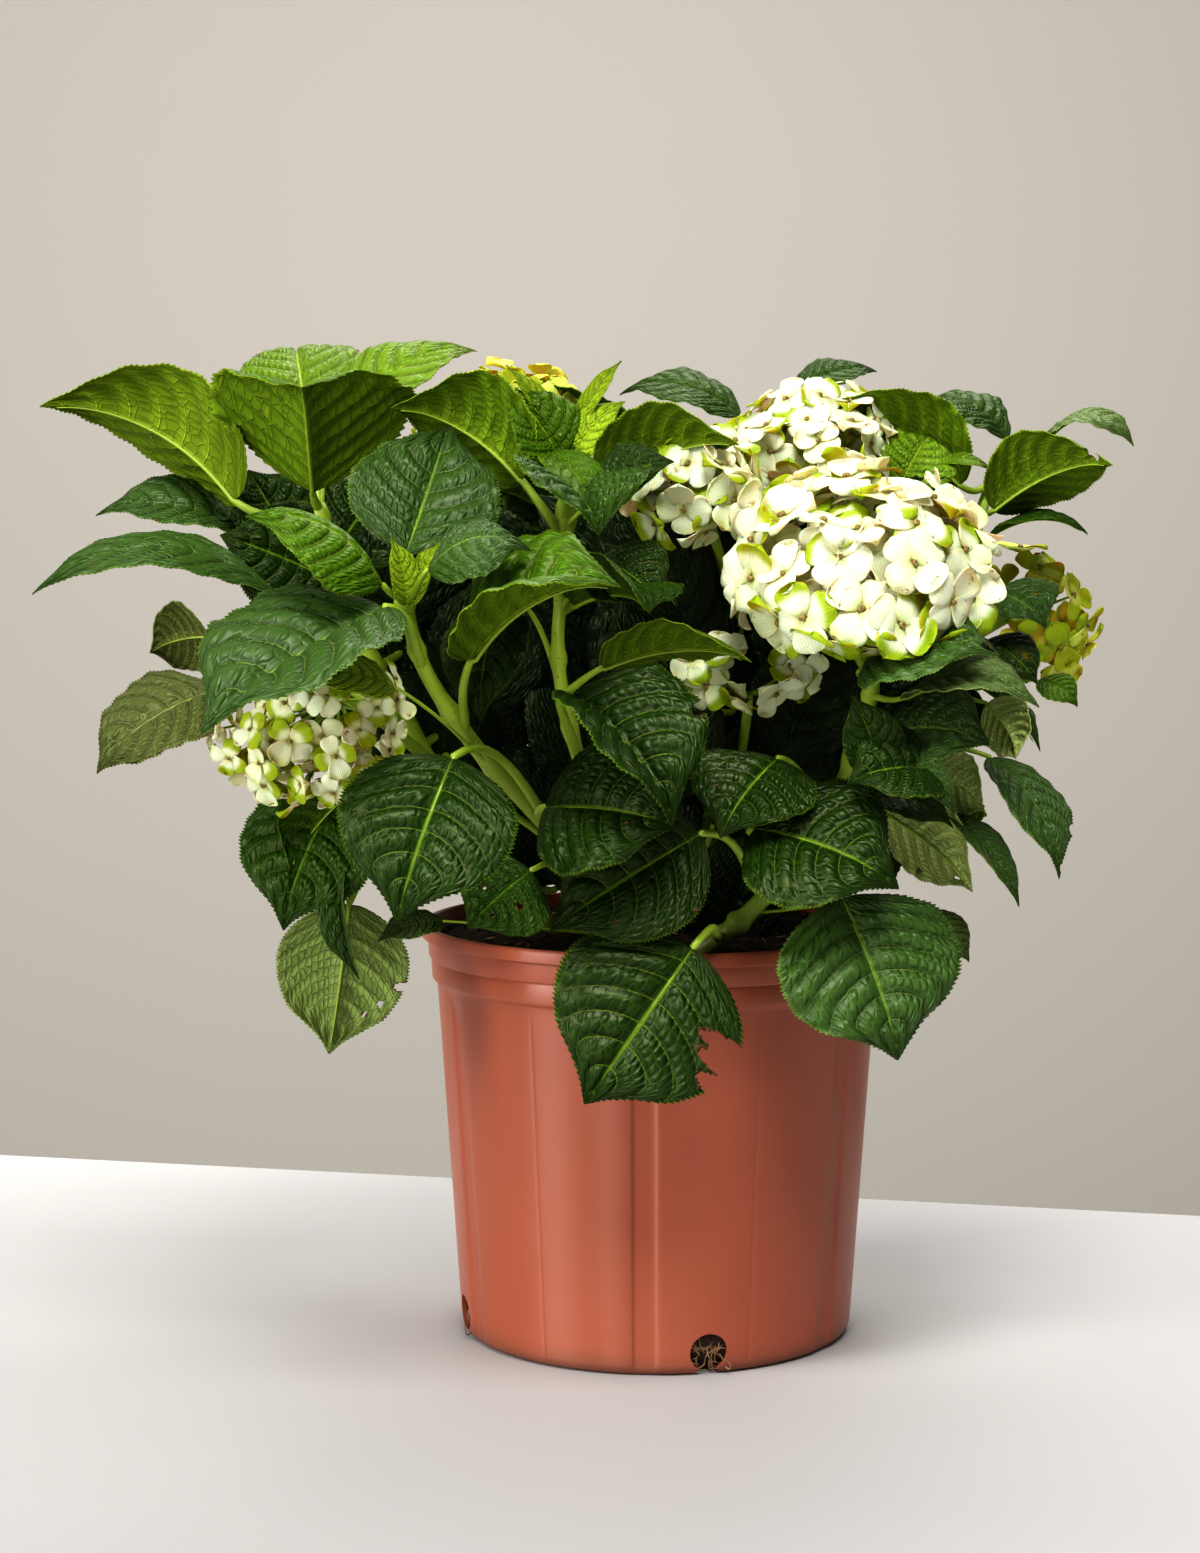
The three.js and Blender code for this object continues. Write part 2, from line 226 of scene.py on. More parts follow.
def ringFaces(rows, sides):
    # the quads between rings of points, each ring after the last
    faces = []
    for i in range(rows):
        for k in range(sides):
            a, b = i * sides + k, i * sides + (k + 1) % sides
            faces.append((a, b, b + sides, a + sides))
    return faces


def tube(line, radii, sides, squash=1.0):
    # a closed round bar along a line, its ends closed by flat caps
    line = np.asarray(line, dtype=float)
    radii = np.broadcast_to(np.asarray(radii, dtype=float), (len(line),))
    ahead = unit(np.gradient(line, axis=0))
    across = unit(np.cross(ahead[0], [0.3, 0.2, 0.93]))
    points = []
    for i, spot in enumerate(line):
        across = unit(across - ahead[i] * np.dot(across, ahead[i]))
        other = np.cross(ahead[i], across)
        turns = np.linspace(0, 2 * math.pi, sides, endpoint=False)
        ring = np.outer(np.cos(turns), across) + np.outer(np.sin(turns) * squash, other)
        points.append(spot + radii[i] * ring)
    points = np.concatenate(points + [line[:1], line[-1:]])
    faces = ringFaces(len(line) - 1, sides)
    first, last = len(line) * sides, len(line) * sides + 1
    for k in range(sides):
        faces.append((first, (k + 1) % sides, k))
        faces.append((last, (len(line) - 1) * sides + k, (len(line) - 1) * sides + (k + 1) % sides))
    share = np.repeat(np.linspace(0, 1, len(line)), sides)
    uv = np.stack([np.concatenate([share, [0, 1]]), np.full(len(points), 0.5)], axis=1)
    return points, faces, uv


def sheetShell(top, under, rows, columns, keep=None):
    # top and under are rows x columns grids; every kept cell is closed by a rim
    cells = [(i, j) for i in range(rows - 1) for j in range(columns - 1)
             if keep is None or keep[i, j]]
    faces, edges = [], {}
    lower = rows * columns
    for i, j in cells:
        a, b = i * columns + j, (i + 1) * columns + j
        quad = (a, b, b + 1, a + 1)
        faces.append(quad)
        for k in range(4):
            edge = (quad[k], quad[(k + 1) % 4])
            if (edge[1], edge[0]) in edges:
                del edges[(edge[1], edge[0])]
            else:
                edges[edge] = True
    tops = len(faces)
    faces += [tuple(corner + lower for corner in reversed(face)) for face in faces[:tops]]
    rim = [(b, a, a + lower, b + lower) for a, b in edges]
    points = np.concatenate([top.reshape(-1, 3), under.reshape(-1, 3)])
    slots = [0] * tops + [1] * (tops + len(rim))
    faces += rim
    used = np.zeros(len(points), dtype=bool)
    used[np.unique(np.concatenate([np.array(face) for face in faces]))] = True
    renumber = np.cumsum(used) - 1
    faces = [tuple(int(renumber[corner]) for corner in face) for face in faces]
    return points[used], faces, slots, used


# canes

# the same curves as the frame's canes, in millimetres
canePlaces = {
    "cane_left": [(-45, -10, 211), (-60, -20, 240), (-120, -60, 330), (-168, -80, 420), (-192, -75, 492)],
    "cane_front": [(-12, -40, 211), (-18, -55, 240), (-42, -92, 290), (-68, -120, 322),
                   (-102, -160, 367), (-126, -182, 410), (-134, -192, 445)],
    "cane_centre": [(-5, -20, 211), (-10, -35, 240), (-30, -95, 310), (-48, -130, 371),
                    (-54, -138, 410), (-52, -122, 455), (-50, -108, 495)],
    "cane_upper": [(20, 15, 211), (24, 12, 240), (50, 0, 340), (75, -18, 430), (85, -25, 480)],
    "cane_right": [(50, 10, 211), (60, 12, 240), (115, 5, 330), (165, -5, 420), (186, -12, 480),
                   (205, 0, 525)],
    "cane_low": [(18, -86, 211), (24, -92, 238), (43, -103, 255), (68, -108, 282), (98, -112, 325),
                 (114, -122, 370), (120, -132, 405)],
    "cane_back_left": [(-25, 35, 211), (-32, 45, 240), (-65, 75, 340), (-88, 70, 440), (-97, 62, 490)],
    "cane_back_right": [(15, 50, 211), (20, 60, 240), (60, 100, 350), (95, 120, 440), (110, 125, 485)],
}
# canes at the back, which only fill the bush out
rearCanes = {
    "rear_left": [(-32, 18, 211), (-38, 22, 240), (-90, 40, 320), (-150, 62, 420)],
    "rear_right": [(34, 30, 211), (38, 34, 240), (110, 60, 330), (165, 80, 430)],
    "rear_middle": [(0, 62, 211), (-2, 68, 240), (-12, 115, 330), (-22, 150, 405)],
    "rear_low_left": [(-30, 60, 211), (-36, 66, 240), (-92, 112, 310), (-132, 140, 375)],
    "rear_low_right": [(30, 62, 211), (34, 68, 240), (82, 118, 310), (105, 152, 372)],
    "rear_top": [(0, 16, 211), (0, 18, 240), (2, 38, 400), (12, 52, 505)],
}
caneLines = {name: smoothLine(points, 12) for name, points in {**canePlaces, **rearCanes}.items()}

# radii from foot to tip, the swelling at a node, and each cane's share of them
caneLook = dict(radii=(5.4, 4.7, 3.8), node=1.5, usual=0.85,
                thick={"cane_centre": 0.8, "cane_front": 0.95, "cane_low": 1.0})
stemLook = dict(young=(0.42, 0.55, 0.05), old=(0.30, 0.42, 0.05), bark=(0.13, 0.085, 0.045),
                roughness=0.42)


def stemFinish():
    finish = Finish("stemGreen", Roughness=stemLook["roughness"])
    spot = finish.objectSpot()
    streak = finish.noise(90, 4, finish.add("ShaderNodeMapping", None,
                                            {"Vector": spot, "Scale": (1, 1, 0.12)}))
    speck = finish.between(finish.noise(520, 2, spot), 0.63, 0.72)
    height = finish.part(spot, "Z")
    fresh = finish.between(height, 0.26, 0.42)
    green = finish.blend(fresh, stemLook["old"], stemLook["young"])
    green = finish.blend(streak * 0.35, green, stemLook["old"])
    low = 1 - finish.between(height + streak * 0.03, 0.245, 0.285)
    color = finish.blend(low * 0.75, green, stemLook["bark"])
    color = finish.blend(speck * 0.6, color, stemLook["bark"])
    finish.use("Base Color", color)
    finish.use("Normal", finish.bump(streak + speck * 0.5, 0.35, 0.0004))
    return finish.material


stemGreen = stemFinish()


def makeCane(name):
    line = caneLines[name] * mm
    share = np.linspace(0, 1, len(line))
    thick = caneLook["thick"].get(name, caneLook["usual"])
    radii = thick * np.interp(share, [0, 0.7, 1], caneLook["radii"])
    for at in caneNodes(name):
        radii = radii + caneLook["node"] * np.exp(-((share - at) / 0.018) ** 2)
    points, faces, uv = tube(line, radii * mm, 14)
    piece = makePiece(name + "_stem", points, faces, [stemGreen], uv=uv)
    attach(piece, "root")
    if name in canePlaces:
        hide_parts(name)


def caneNodes(name):
    # the shares along a cane where leaves and stalks leave it
    found = [*leafPlaces.values(), *smallLeaves.values()]
    return sorted(set(round(place.at, 2) for place in found if place.cane == name))


# leaves

# at is the share along the cane where the stalk leaves it, face the way the upper
# side looks, arch the midrib's rise and fold each half's turn up, in degrees
Leaf = namedtuple("Leaf", "cane at base tip width face arch fold tone")


def onCanes(table):
    return {name: Leaf(cane, *row) for cane, rows in table.items() for name, row in rows.items()}


leafPlaces = onCanes({
    "cane_left": {
        "left_high": (0.97, (-236, -85, 493), (-346, -95, 550), 84, (-0.2, 0.6, 0.75), 22, 30, "young"),
        "left_cupped": (0.99, (-193, -90, 498), (-190, -165, 561), 142, (0, 0.63, 0.78), 3, 38, "fresh"),
        "left_bright": (0.99, (-185, -45, 538), (-105, -5, 584), 62, (-0.3, -0.55, 0.8), 12, 12, "young"),
        "left_rear": (0.99, (-202, -42, 545), (-218, 52, 584), 72, (-0.1, -0.3, 0.95), 12, 6, "young"),
        "left_grey": (0.9, (-236, -50, 478), (-320, -70, 488), 54, (0, -0.5, 0.87), 10, 16, "grey"),
        "left_long": (0.8, (-212, -105, 443), (-342, -150, 446), 60, (0, -0.35, 0.93), 26, 6, "grey"),
        "left_shade": (0.88, (-182, -70, 448), (-245, -95, 476), 70, (-0.2, -0.8, 0.3), 6, 10, "deep"),
        "left_pale": (0.6, (-240, -140, 392), (-306, -165, 349), 74, (-0.2, -0.55, 0.8), 8, 8, "olive"),
        "left_low": (0.5, (-176, -110, 336), (-208, -140, 258), 86, (-0.3, -0.85, 0.3), 8, 6, "mature"),
        "left_under": (0.42, (-172, -112, 270), (-182, -130, 186), 74, (0.05, 0.95, 0.2), 6, 8, "pale"),
    },
    "cane_front": {
        "front_side": (0.99, (-143, -212, 451), (-212, -242, 490), 62, (0.1, -0.5, 0.85), 15, -20, "fresh"),
        "front_upright": (0.98, (-134, -180, 466), (-114, -115, 539), 84, (0.1, -0.9, 0.42), -3, 14, "grey"),
        "front_small": (0.98, (-120, -215, 459), (-64, -215, 471), 54, (-0.1, -0.55, 0.85), 14, -8, "grey"),
        "front_big": (0.86, (-142, -215, 440), (-230, -290, 383), 113, (-0.15, -0.42, 0.9), 4, 19, "grey"),
        "front_folded": (0.72, (-98, -205, 411), (-19, -235, 456), 112, (-0.25, -0.3, 0.92), 12, 34, "fresh"),
        "front_low": (0.36, (-106, -225, 362), (-134, -262, 280), 94, (-0.1, -0.95, 0.3), 8, 8, "deep"),
        "middle_round": (0.3, (-67, -188, 298), (-101, -203, 269), 58, (-0.1, -0.9, 0.4), 4, 6, "mature"),
    },
    "cane_centre": {
        "middle_low": (0.38, (-60, -190, 332), (12, -220, 326), 88, (0, -0.82, 0.55), 8, 12, "deep"),
        "middle_turned": (0.55, (-46, -190, 392), (11, -235, 329), 100, (0.5, -0.7, 0.6), 8, 38, "deep"),
        "middle_flat": (0.66, (-30, -150, 404), (52, -180, 412), 64, (0, 0.38, 0.92), 8, 16, "fresh"),
        "middle_under": (0.8, (-46, -130, 437), (-2, -210, 440), 82, (0.1, 0.5, 0.85), 8, 30, "mature"),
        "top_left": (0.93, (-74, -115, 505), (-147, -125, 548), 80, (-0.2, 0.55, 0.8), 12, 24, "fresh"),
        "top_right": (0.98, (-32, -112, 500), (46, -132, 528), 72, (0.1, 0.6, 0.8), 10, 20, "fresh"),
        "top_front": (0.96, (-50, -132, 500), (-30, -195, 480), 88, (0.05, -0.15, 0.98), 5, 34, "mature"),
    },
    "cane_low": {
        "middle_bottom": (0.35, (24, -170, 316), (-57, -202, 268), 76, (0.15, -0.9, 0.4), 6, 6, "deep"),
        "middle_corner": (0.6, (66, -150, 355), (33, -190, 317), 72, (-0.1, -0.7, 0.7), 6, 8, "deep"),
        "right_curled": (0.98, (110, -155, 403), (182, -195, 416), 72, (0.1, -0.6, 0.8), 13, 8, "grey"),
        "right_spread": (0.92, (134, -150, 388), (204, -190, 388), 56, (0.1, -0.35, 0.9), 12, 16, "pale"),
        "right_glossy": (0.85, (124, -125, 366), (180, -165, 366), 70, (0.1, -0.75, 0.65), 8, 8, "grey"),
        "right_hanging": (0.8, (186, -105, 352), (223, -140, 288), 50, (0.5, -0.5, 0.7), 10, 10, "grey"),
        "right_light": (0.7, (122, -105, 324), (177, -130, 280), 60, (0.35, 0.7, 0.5), 6, 10, "light"),
        "right_bottom": (0.5, (52, -165, 318), (130, -202, 292), 92, (0.1, -0.78, 0.62), 10, 8, "deep"),
        "pot_front": (0.2, (20, -188, 257), (-39, -208, 174), 106, (0, -1, 0.15), 7, 4, "deep"),
        "pot_right": (0.36, (100, -164, 281), (132, -188, 195), 106, (0.3, -0.9, 0.25), 7, 6, "grey"),
    },
    "cane_upper": {
        "top_back": (0.8, (50, 35, 544), (-24, 45, 559), 50, (0, -0.4, 0.9), 12, 8, "mature"),
    },
    "cane_right": {
        "right_arching": (0.93, (176, -30, 502), (96, -55, 552), 68, (0.1, 0.6, 0.8), 9, 22, "fresh"),
        "right_back": (0.99, (208, 20, 530), (157, 35, 552), 58, (0.1, -0.3, 0.95), 10, 10, "mature"),
        "right_under": (0.9, (192, -45, 488), (256, -85, 517), 66, (0.25, 0.5, 0.8), 10, 22, "fresh"),
        "right_far": (0.98, (228, 10, 529), (279, -15, 527), 54, (0.1, -0.25, 0.95), 16, 6, "pale"),
        "right_between": (0.66, (188, -62, 442), (217, -105, 426), 56, (0.2, -0.75, 0.6), 6, 8, "grey"),
    },
    "cane_back_left": {
        "back_high": (0.9, (-120, 110, 480), (-185, 165, 515), 92, (-0.2, 0.4, 0.9), 14, 16, "fresh"),
        "back_wide": (0.6, (-100, 130, 390), (-160, 215, 375), 104, (-0.4, 0.5, 0.75), 18, 10, "mature"),
    },
    "cane_back_right": {
        "back_side": (0.75, (125, 150, 410), (185, 225, 390), 104, (0.5, 0.4, 0.75), 18, 8, "mature"),
    },
})

# smaller and hidden leaves, which have no solid of their own
smallLeaves = onCanes({
    "cane_upper": {
        "upper_far": (0.97, (82, 25, 560), (132, 40, 572), 34, (0, -0.45, 0.88), 5, 10, "mature"),
        "upper_bright": (0.85, (138, -60, 503), (156, -40, 533), 52, (0.1, -0.75, 0.65), 4, 12, "young"),
        "upper_small": (0.8, (160, -55, 516), (192, -50, 511), 14, (0, -0.5, 0.85), 5, 10, "young"),
    },
    "cane_right": {
        "right_thin": (0.9, (191, -40, 474), (246, -60, 477), 42, (0, -0.12, 1), 9, 12, "mature"),
        "right_dark": (0.62, (186, -80, 416), (213, -100, 393), 34, (0.1, -0.7, 0.6), 5, 8, "deep"),
        "right_small": (0.5, (218, -60, 392), (240, -70, 378), 26, (0.1, -0.6, 0.8), 4, 8, "fresh"),
        "right_pale": (0.4, (187, -75, 380), (204, -90, 349), 44, (0.3, 0.6, 0.5), 5, 8, "light"),
    },
    "cane_low": {
        "right_lower": (0.78, (150, -110, 345), (182, -125, 324), 44, (0.2, 0.7, 0.5), 5, 8, "light"),
        "right_shadow": (0.66, (114, -125, 335), (164, -140, 317), 40, (0.1, -0.5, 0.85), 6, 12, "deep"),
        "right_folded": (0.84, (150, -165, 350), (101, -190, 347), 60, (-0.1, -0.75, 0.65), 6, 20, "deep"),
        "right_cover": (0.84, (124, -165, 348), (104, -180, 392), 34, (-0.2, -0.8, 0.5), 5, 14, "deep"),
        "right_strip": (0.84, (130, -165, 358), (160, -185, 328), 24, (0.2, -0.7, 0.6), 5, 26, "grey"),
        "right_droop": (0.76, (162, -120, 322), (199, -150, 274), 24, (0.4, -0.6, 0.7), 7, 20, "grey"),
        "pot_far": (0.3, (152, -100, 263), (177, -102, 236), 26, (0.4, -0.7, 0.4), 4, 8, "pale"),
    },
    "cane_centre": {
        "top_dark": (0.95, (-35, -140, 496), (9, -160, 517), 42, (-0.1, -0.75, 0.65), 6, 12, "deep"),
        "middle_dark": (0.8, (-32, -135, 463), (4, -160, 439), 52, (0, -0.75, 0.65), 6, 10, "deep"),
        "shoot_left": (0.99, (-51, -108, 512), (-81, -115, 557), 46, (0.25, -0.85, 0.45), 5, 20, "fresh"),
        "shoot_right": (0.995, (-51, -106, 514), (-18, -110, 550), 30, (-0.3, -0.8, 0.5), 5, 16, "bud"),
        "shoot_tall": (0.995, (-45, -106, 535), (-20, -104, 572), 13, (-0.3, -0.8, 0.3), 3, 26, "bud"),
        "shoot_slim": (0.995, (-55, -108, 534), (-82, -112, 568), 14, (0.3, -0.8, 0.3), 3, 26, "bud"),
        "shoot_front": (0.98, (-60, -118, 521), (-27, -165, 483), 34, (0.3, -0.7, 0.65), 6, 18, "fresh"),
        "front_dark": (0.5, (-83, -150, 442), (-95, -180, 376), 52, (-0.4, -0.85, 0.2), 8, 14, "deep"),
    },
    "cane_front": {
        "bud_left": (0.99, (-132, -198, 440), (-139, -208, 476), 20, (0.4, -0.8, 0.3), 3, 26, "bud"),
        "bud_right": (0.99, (-129, -198, 440), (-114, -200, 474), 17, (-0.4, -0.8, 0.3), 3, 26, "bud"),
        # front_pale takes the bud tone as painted light, because it lies in the shade of front_big
        "front_pale": (0.6, (-137, -216, 398), (-186, -236, 406), 34, (0, -0.6, 0.8), 5, 8, "bud"),
        "rim_pale": (0.12, (-119, -120, 261), (-155, -135, 252), 26, (-0.1, -0.5, 0.8), 4, 10, "pale"),
        "low_dark": (0.35, (-118, -150, 332), (-147, -165, 290), 60, (-0.2, -0.8, 0.4), 6, 8, "deep"),
    },
    "cane_left": {
        "left_farpale": (0.6, (-257, -60, 417), (-292, -60, 408), 48, (0.1, 0.8, 0.5), 5, 10, "olive"),
        "low_grey": (0.32, (-173, -130, 299), (-164, -150, 232), 34, (-0.5, -0.8, 0.1), 6, 55, "grey"),
        "low_back": (0.42, (-172, -125, 332), (-204, -135, 291), 52, (-0.2, 0.8, 0.4), 6, 8, "mature"),
        "rear_dark": (0.8, (-187, -60, 461), (-152, -40, 507), 70, (0.1, -0.8, 0.5), 6, 8, "deep"),
        "rear_dark_b": (0.7, (-206, -50, 461), (-235, -50, 513), 60, (-0.1, -0.8, 0.5), 6, 8, "deep"),
    },
})

# holes and bitten edges: share along the blade, side, and the two half sizes
leafWear = {
    "pot_front": [(0.34, 1.05, 0.055, 0.52), (0.42, 1.05, 0.06, 0.42), (0.53, 1.05, 0.05, 0.25)],
    "middle_round": [(0.42, 0.45, 0.035, 0.06), (0.55, -0.3, 0.022, 0.04), (0.7, 0.3, 0.02, 0.04)],
    "left_under": [(0.62, -0.75, 0.025, 0.05), (0.7, -0.55, 0.02, 0.04), (0.5, -0.98, 0.03, 0.12)],
    "right_light": [(0.8, 0.6, 0.03, 0.1), (0.86, 0.2, 0.02, 0.1)],
    "right_under": [(0.86, -0.6, 0.04, 0.5)],
    "right_hanging": [(0.93, 0.7, 0.03, 0.4), (0.7, 0.95, 0.03, 0.2)],
    "right_curled": [(0.93, 0.2, 0.05, 0.3)],
    "right_between": [(0.6, 0.4, 0.03, 0.08)],
    "right_dark": [(0.6, 0.3, 0.05, 0.1)],
    "middle_low": [(0.7, -0.25, 0.018, 0.03)],
    "middle_bottom": [(0.4, 0.2, 0.02, 0.035), (0.7, 0.6, 0.02, 0.04)],
    "middle_turned": [(0.55, 0.97, 0.03, 0.12)],
}

leafLook = dict(rows=91, columns=37, toothRows=2, toothDepth=1.9, veins=7.4, lead=0.27, curve=1.7,
                blister=3.5, groove=1.4, wave=2.4, thickness=0.5, sag=0.12, first=0.012, last=0.997,
                pointed=0.5, droop=0.05, stalk=2.5, rib=1.25, width=95)
# teeth, blisters and the groove are as given on a blade of that width
fillLook = dict(leafLook, rows=46, columns=21)

leafTones = {
    # upper side, underside, vein
    # shade is painted shade, for near-black leaves set inside the bush where shade falls. light, pale and bud
    # are partly painted light, brightened for leaves that lie in shadow. young and the underside of fresh are
    # brightened in part as painted light shining through the blade, and grey stands in partly for a painted
    # sheen
    "shade": ((0.003, 0.018, 0.0008), (0.014, 0.035, 0.004), (0.02, 0.055, 0.004)),
    "deep": ((0.009, 0.034, 0.0008), (0.045, 0.105, 0.010), (0.19, 0.32, 0.012)),
    "mature": ((0.024, 0.068, 0.0015), (0.08, 0.15, 0.014), (0.15, 0.29, 0.014)),
    "grey": ((0.046, 0.098, 0.016), (0.12, 0.19, 0.05), (0.24, 0.38, 0.06)),
    "fresh": ((0.070, 0.155, 0.003), (0.15, 0.25, 0.010), (0.36, 0.47, 0.04)),
    "young": ((0.130, 0.230, 0.008), (0.155, 0.24, 0.010), (0.42, 0.52, 0.06)),
    "bud": ((0.32, 0.46, 0.02), (0.30, 0.42, 0.02), (0.46, 0.56, 0.06)),
    "pale": ((0.11, 0.175, 0.045), (0.24, 0.32, 0.095), (0.34, 0.42, 0.15)),
    "olive": ((0.085, 0.105, 0.026), (0.17, 0.20, 0.055), (0.30, 0.34, 0.12)),
    "light": ((0.22, 0.30, 0.08), (0.46, 0.56, 0.19), (0.55, 0.62, 0.28)),
}


def veinPhase(t, side):
    # whole numbers fall on the side veins, which leave the midrib and curve to the tip
    lead = leafLook["lead"] * np.abs(side) ** leafLook["curve"]
    return leafLook["veins"] * (t * (1.12 - 0.12 * t) + 0.03 - lead)


def leafFinish(name, tone, upper):
    top, under, vein = leafTones[tone]
    base = top if upper else under
    tint = (0.95, 1.0, 0.9, 1) if tone == "grey" else (0.96, 1.0, 0.68, 1)
    finish = Finish(name, Specular_IOR_Level=0.42 if upper else 0.2, Specular_Tint=tint)
    spot = finish.objectSpot()
    growth = finish.add("ShaderNodeUVMap", {"uv_map": "growth"})
    t = finish.part(growth, "X")
    across = finish.part(growth, "Y")
    shade = finish.add("ShaderNodeAttribute", {"attribute_name": "shade"}, None, "Color")
    bright = finish.add("ShaderNodeSeparateColor", None, {"Color": shade}, "Red")
    dried = finish.add("ShaderNodeSeparateColor", None, {"Color": shade}, "Green")
    side = abs(across * 2 - 1)
    wobble = finish.noise(26, 2, spot) - 0.5
    fine = finish.noise(240, 2, spot)
    # the same curve as in veinPhase
    phase = t * (1.12 - t * 0.12) + 0.03 - (side ** leafLook["curve"]) * leafLook["lead"]
    phase = phase * leafLook["veins"] + wobble * 0.2
    off = 0.5 - abs(phase.sum("FRACT", phase) - 0.5)
    # off is 0 on a side vein and 0.5 half way to the next
    thin = 0.045 - side * 0.028
    sideVein = 1 - finish.between(off, thin * 0.3, thin)
    midrib = 1 - finish.between(side, 0.014, 0.04)
    half = across.sum("GREATER_THAN", across, 0.5)
    cells = finish.add("ShaderNodeCombineXYZ", None,
                       {"X": phase * 1.05 + wobble * 0.5, "Y": side * 5.2 + wobble * 1.0, "Z": half * 7})
    net = finish.add("ShaderNodeTexVoronoi", {"feature": "DISTANCE_TO_EDGE"},
                     {"Vector": cells, "Scale": 1.9, "Randomness": 0.62})
    netVein = 1 - finish.between(net, 0.0, 0.07)
    veins = finish.add("ShaderNodeMath", {"operation": "MAXIMUM"}, {0: sideVein * 0.8, 1: midrib})
    patch = finish.noise(14, 3, spot)
    color = finish.blend(patch * 0.6, base, [c * (0.55 if upper else 0.72) for c in base])
    color = finish.blend(bright * 0.5, color, [c * 1.9 for c in base])
    edgeFresh = finish.between(side, 0.97, 1.0) * 0.4
    if upper:
        # painted shade: the blade is darker down in the furrow along each side vein
        paintedFurrowShade = (1 - finish.between(off, 0.0, 0.3)) * finish.between(side, 0.0, 0.12)
        color = finish.blend(paintedFurrowShade * 0.6, color, [c * 0.35 for c in base])
        # painted light and shade: the raised cells between the fine veins are made lighter, and the net lines
        # between them stay dark
        lift = 0.15 if tone == "deep" else 0.5
        color = finish.blend(finish.between(net, 0.12, 0.45) * lift, color, [c * 1.7 for c in base])
    else:
        # painted shade: the underside is darker in the hollows between its raised veins
        color = finish.blend(finish.between(off, 0.08, 0.5) * 0.5, color, [c * 0.5 for c in base])
    color = finish.blend(edgeFresh, color, vein)
    color = finish.blend(netVein * (0.10 if upper else 0.3), color, vein)
    color = finish.blend(veins * (0.55 if upper else 0.85), color, vein)
    fleck = finish.between(fine, 0.70, 0.76) * finish.between(patch, 0.52, 0.62)
    color = finish.blend(fleck * 0.2, color, vein)
    dry = finish.between(finish.noise(38, 4, spot, 0.65) + side * 0.05 + dried * 0.5, 0.74, 0.77)
    color = finish.blend(dry * 0.85, color, (0.13, 0.065, 0.03))
    finish.use("Base Color", color)
    if upper:
        finish.use("Roughness", 0.37 + patch * 0.14 + veins * 0.1 + dry * 0.2)
    else:
        finish.use("Roughness", 0.62 + patch * 0.15)
    if upper:
        rise = finish.between(net, 0.0, 0.42) * 0.45 - veins * 0.4
    else:
        rise = veins * 0.9 + netVein * 0.4 - net * 0.6
    finish.use("Normal", finish.bump(rise + fine * 0.05, 0.6 if tone == "deep" else 0.82, 0.0024))
    return finish.material


def stalkFinish():
    finish = Finish("stalkGreen", Roughness=0.42)
    spot = finish.objectSpot()
    streak = finish.noise(120, 3, spot)
    finish.use("Base Color", finish.blend(streak * 0.6, (0.36, 0.49, 0.05), (0.22, 0.36, 0.03)))
    finish.use("Normal", finish.bump(streak, 0.25, 0.0003))
    return finish.material


stalkGreen = stalkFinish()
toneNames = list(leafTones)
leafFinishes = {tone: (leafFinish(tone + "Upper", tone, True), leafFinish(tone + "Under", tone, False),
                       stalkGreen) for tone in leafTones}
print("leaf finishes made")


def leafFrame(place):
    base, tip = np.array(place.base, dtype=float), np.array(place.tip, dtype=float)
    along = unit(tip - base)
    face = np.array(place.face, dtype=float)
    up = unit(face - along * face.dot(along))
    bend = (base + tip) / 2 + 2 * place.arch * up
    return base, bend, tip, up


def bezier(base, bend, tip, t):
    t = np.asarray(t)[..., None]
    spot = (1 - t) ** 2 * base + 2 * t * (1 - t) * bend + t ** 2 * tip
    way = unit(2 * (1 - t) * (bend - base) + 2 * t * (tip - bend))
    return spot, way


def smoothStep(x, low, high):
    x = np.clip((np.asarray(x) - low) / (high - low), 0, 1)
    return x * x * (3 - 2 * x)


def tipDroop(place, look, t):
    # the last third of a blade bends down
    return look["droop"] * place.width * np.clip(t - 0.7, 0, 1) ** 2 / 0.09


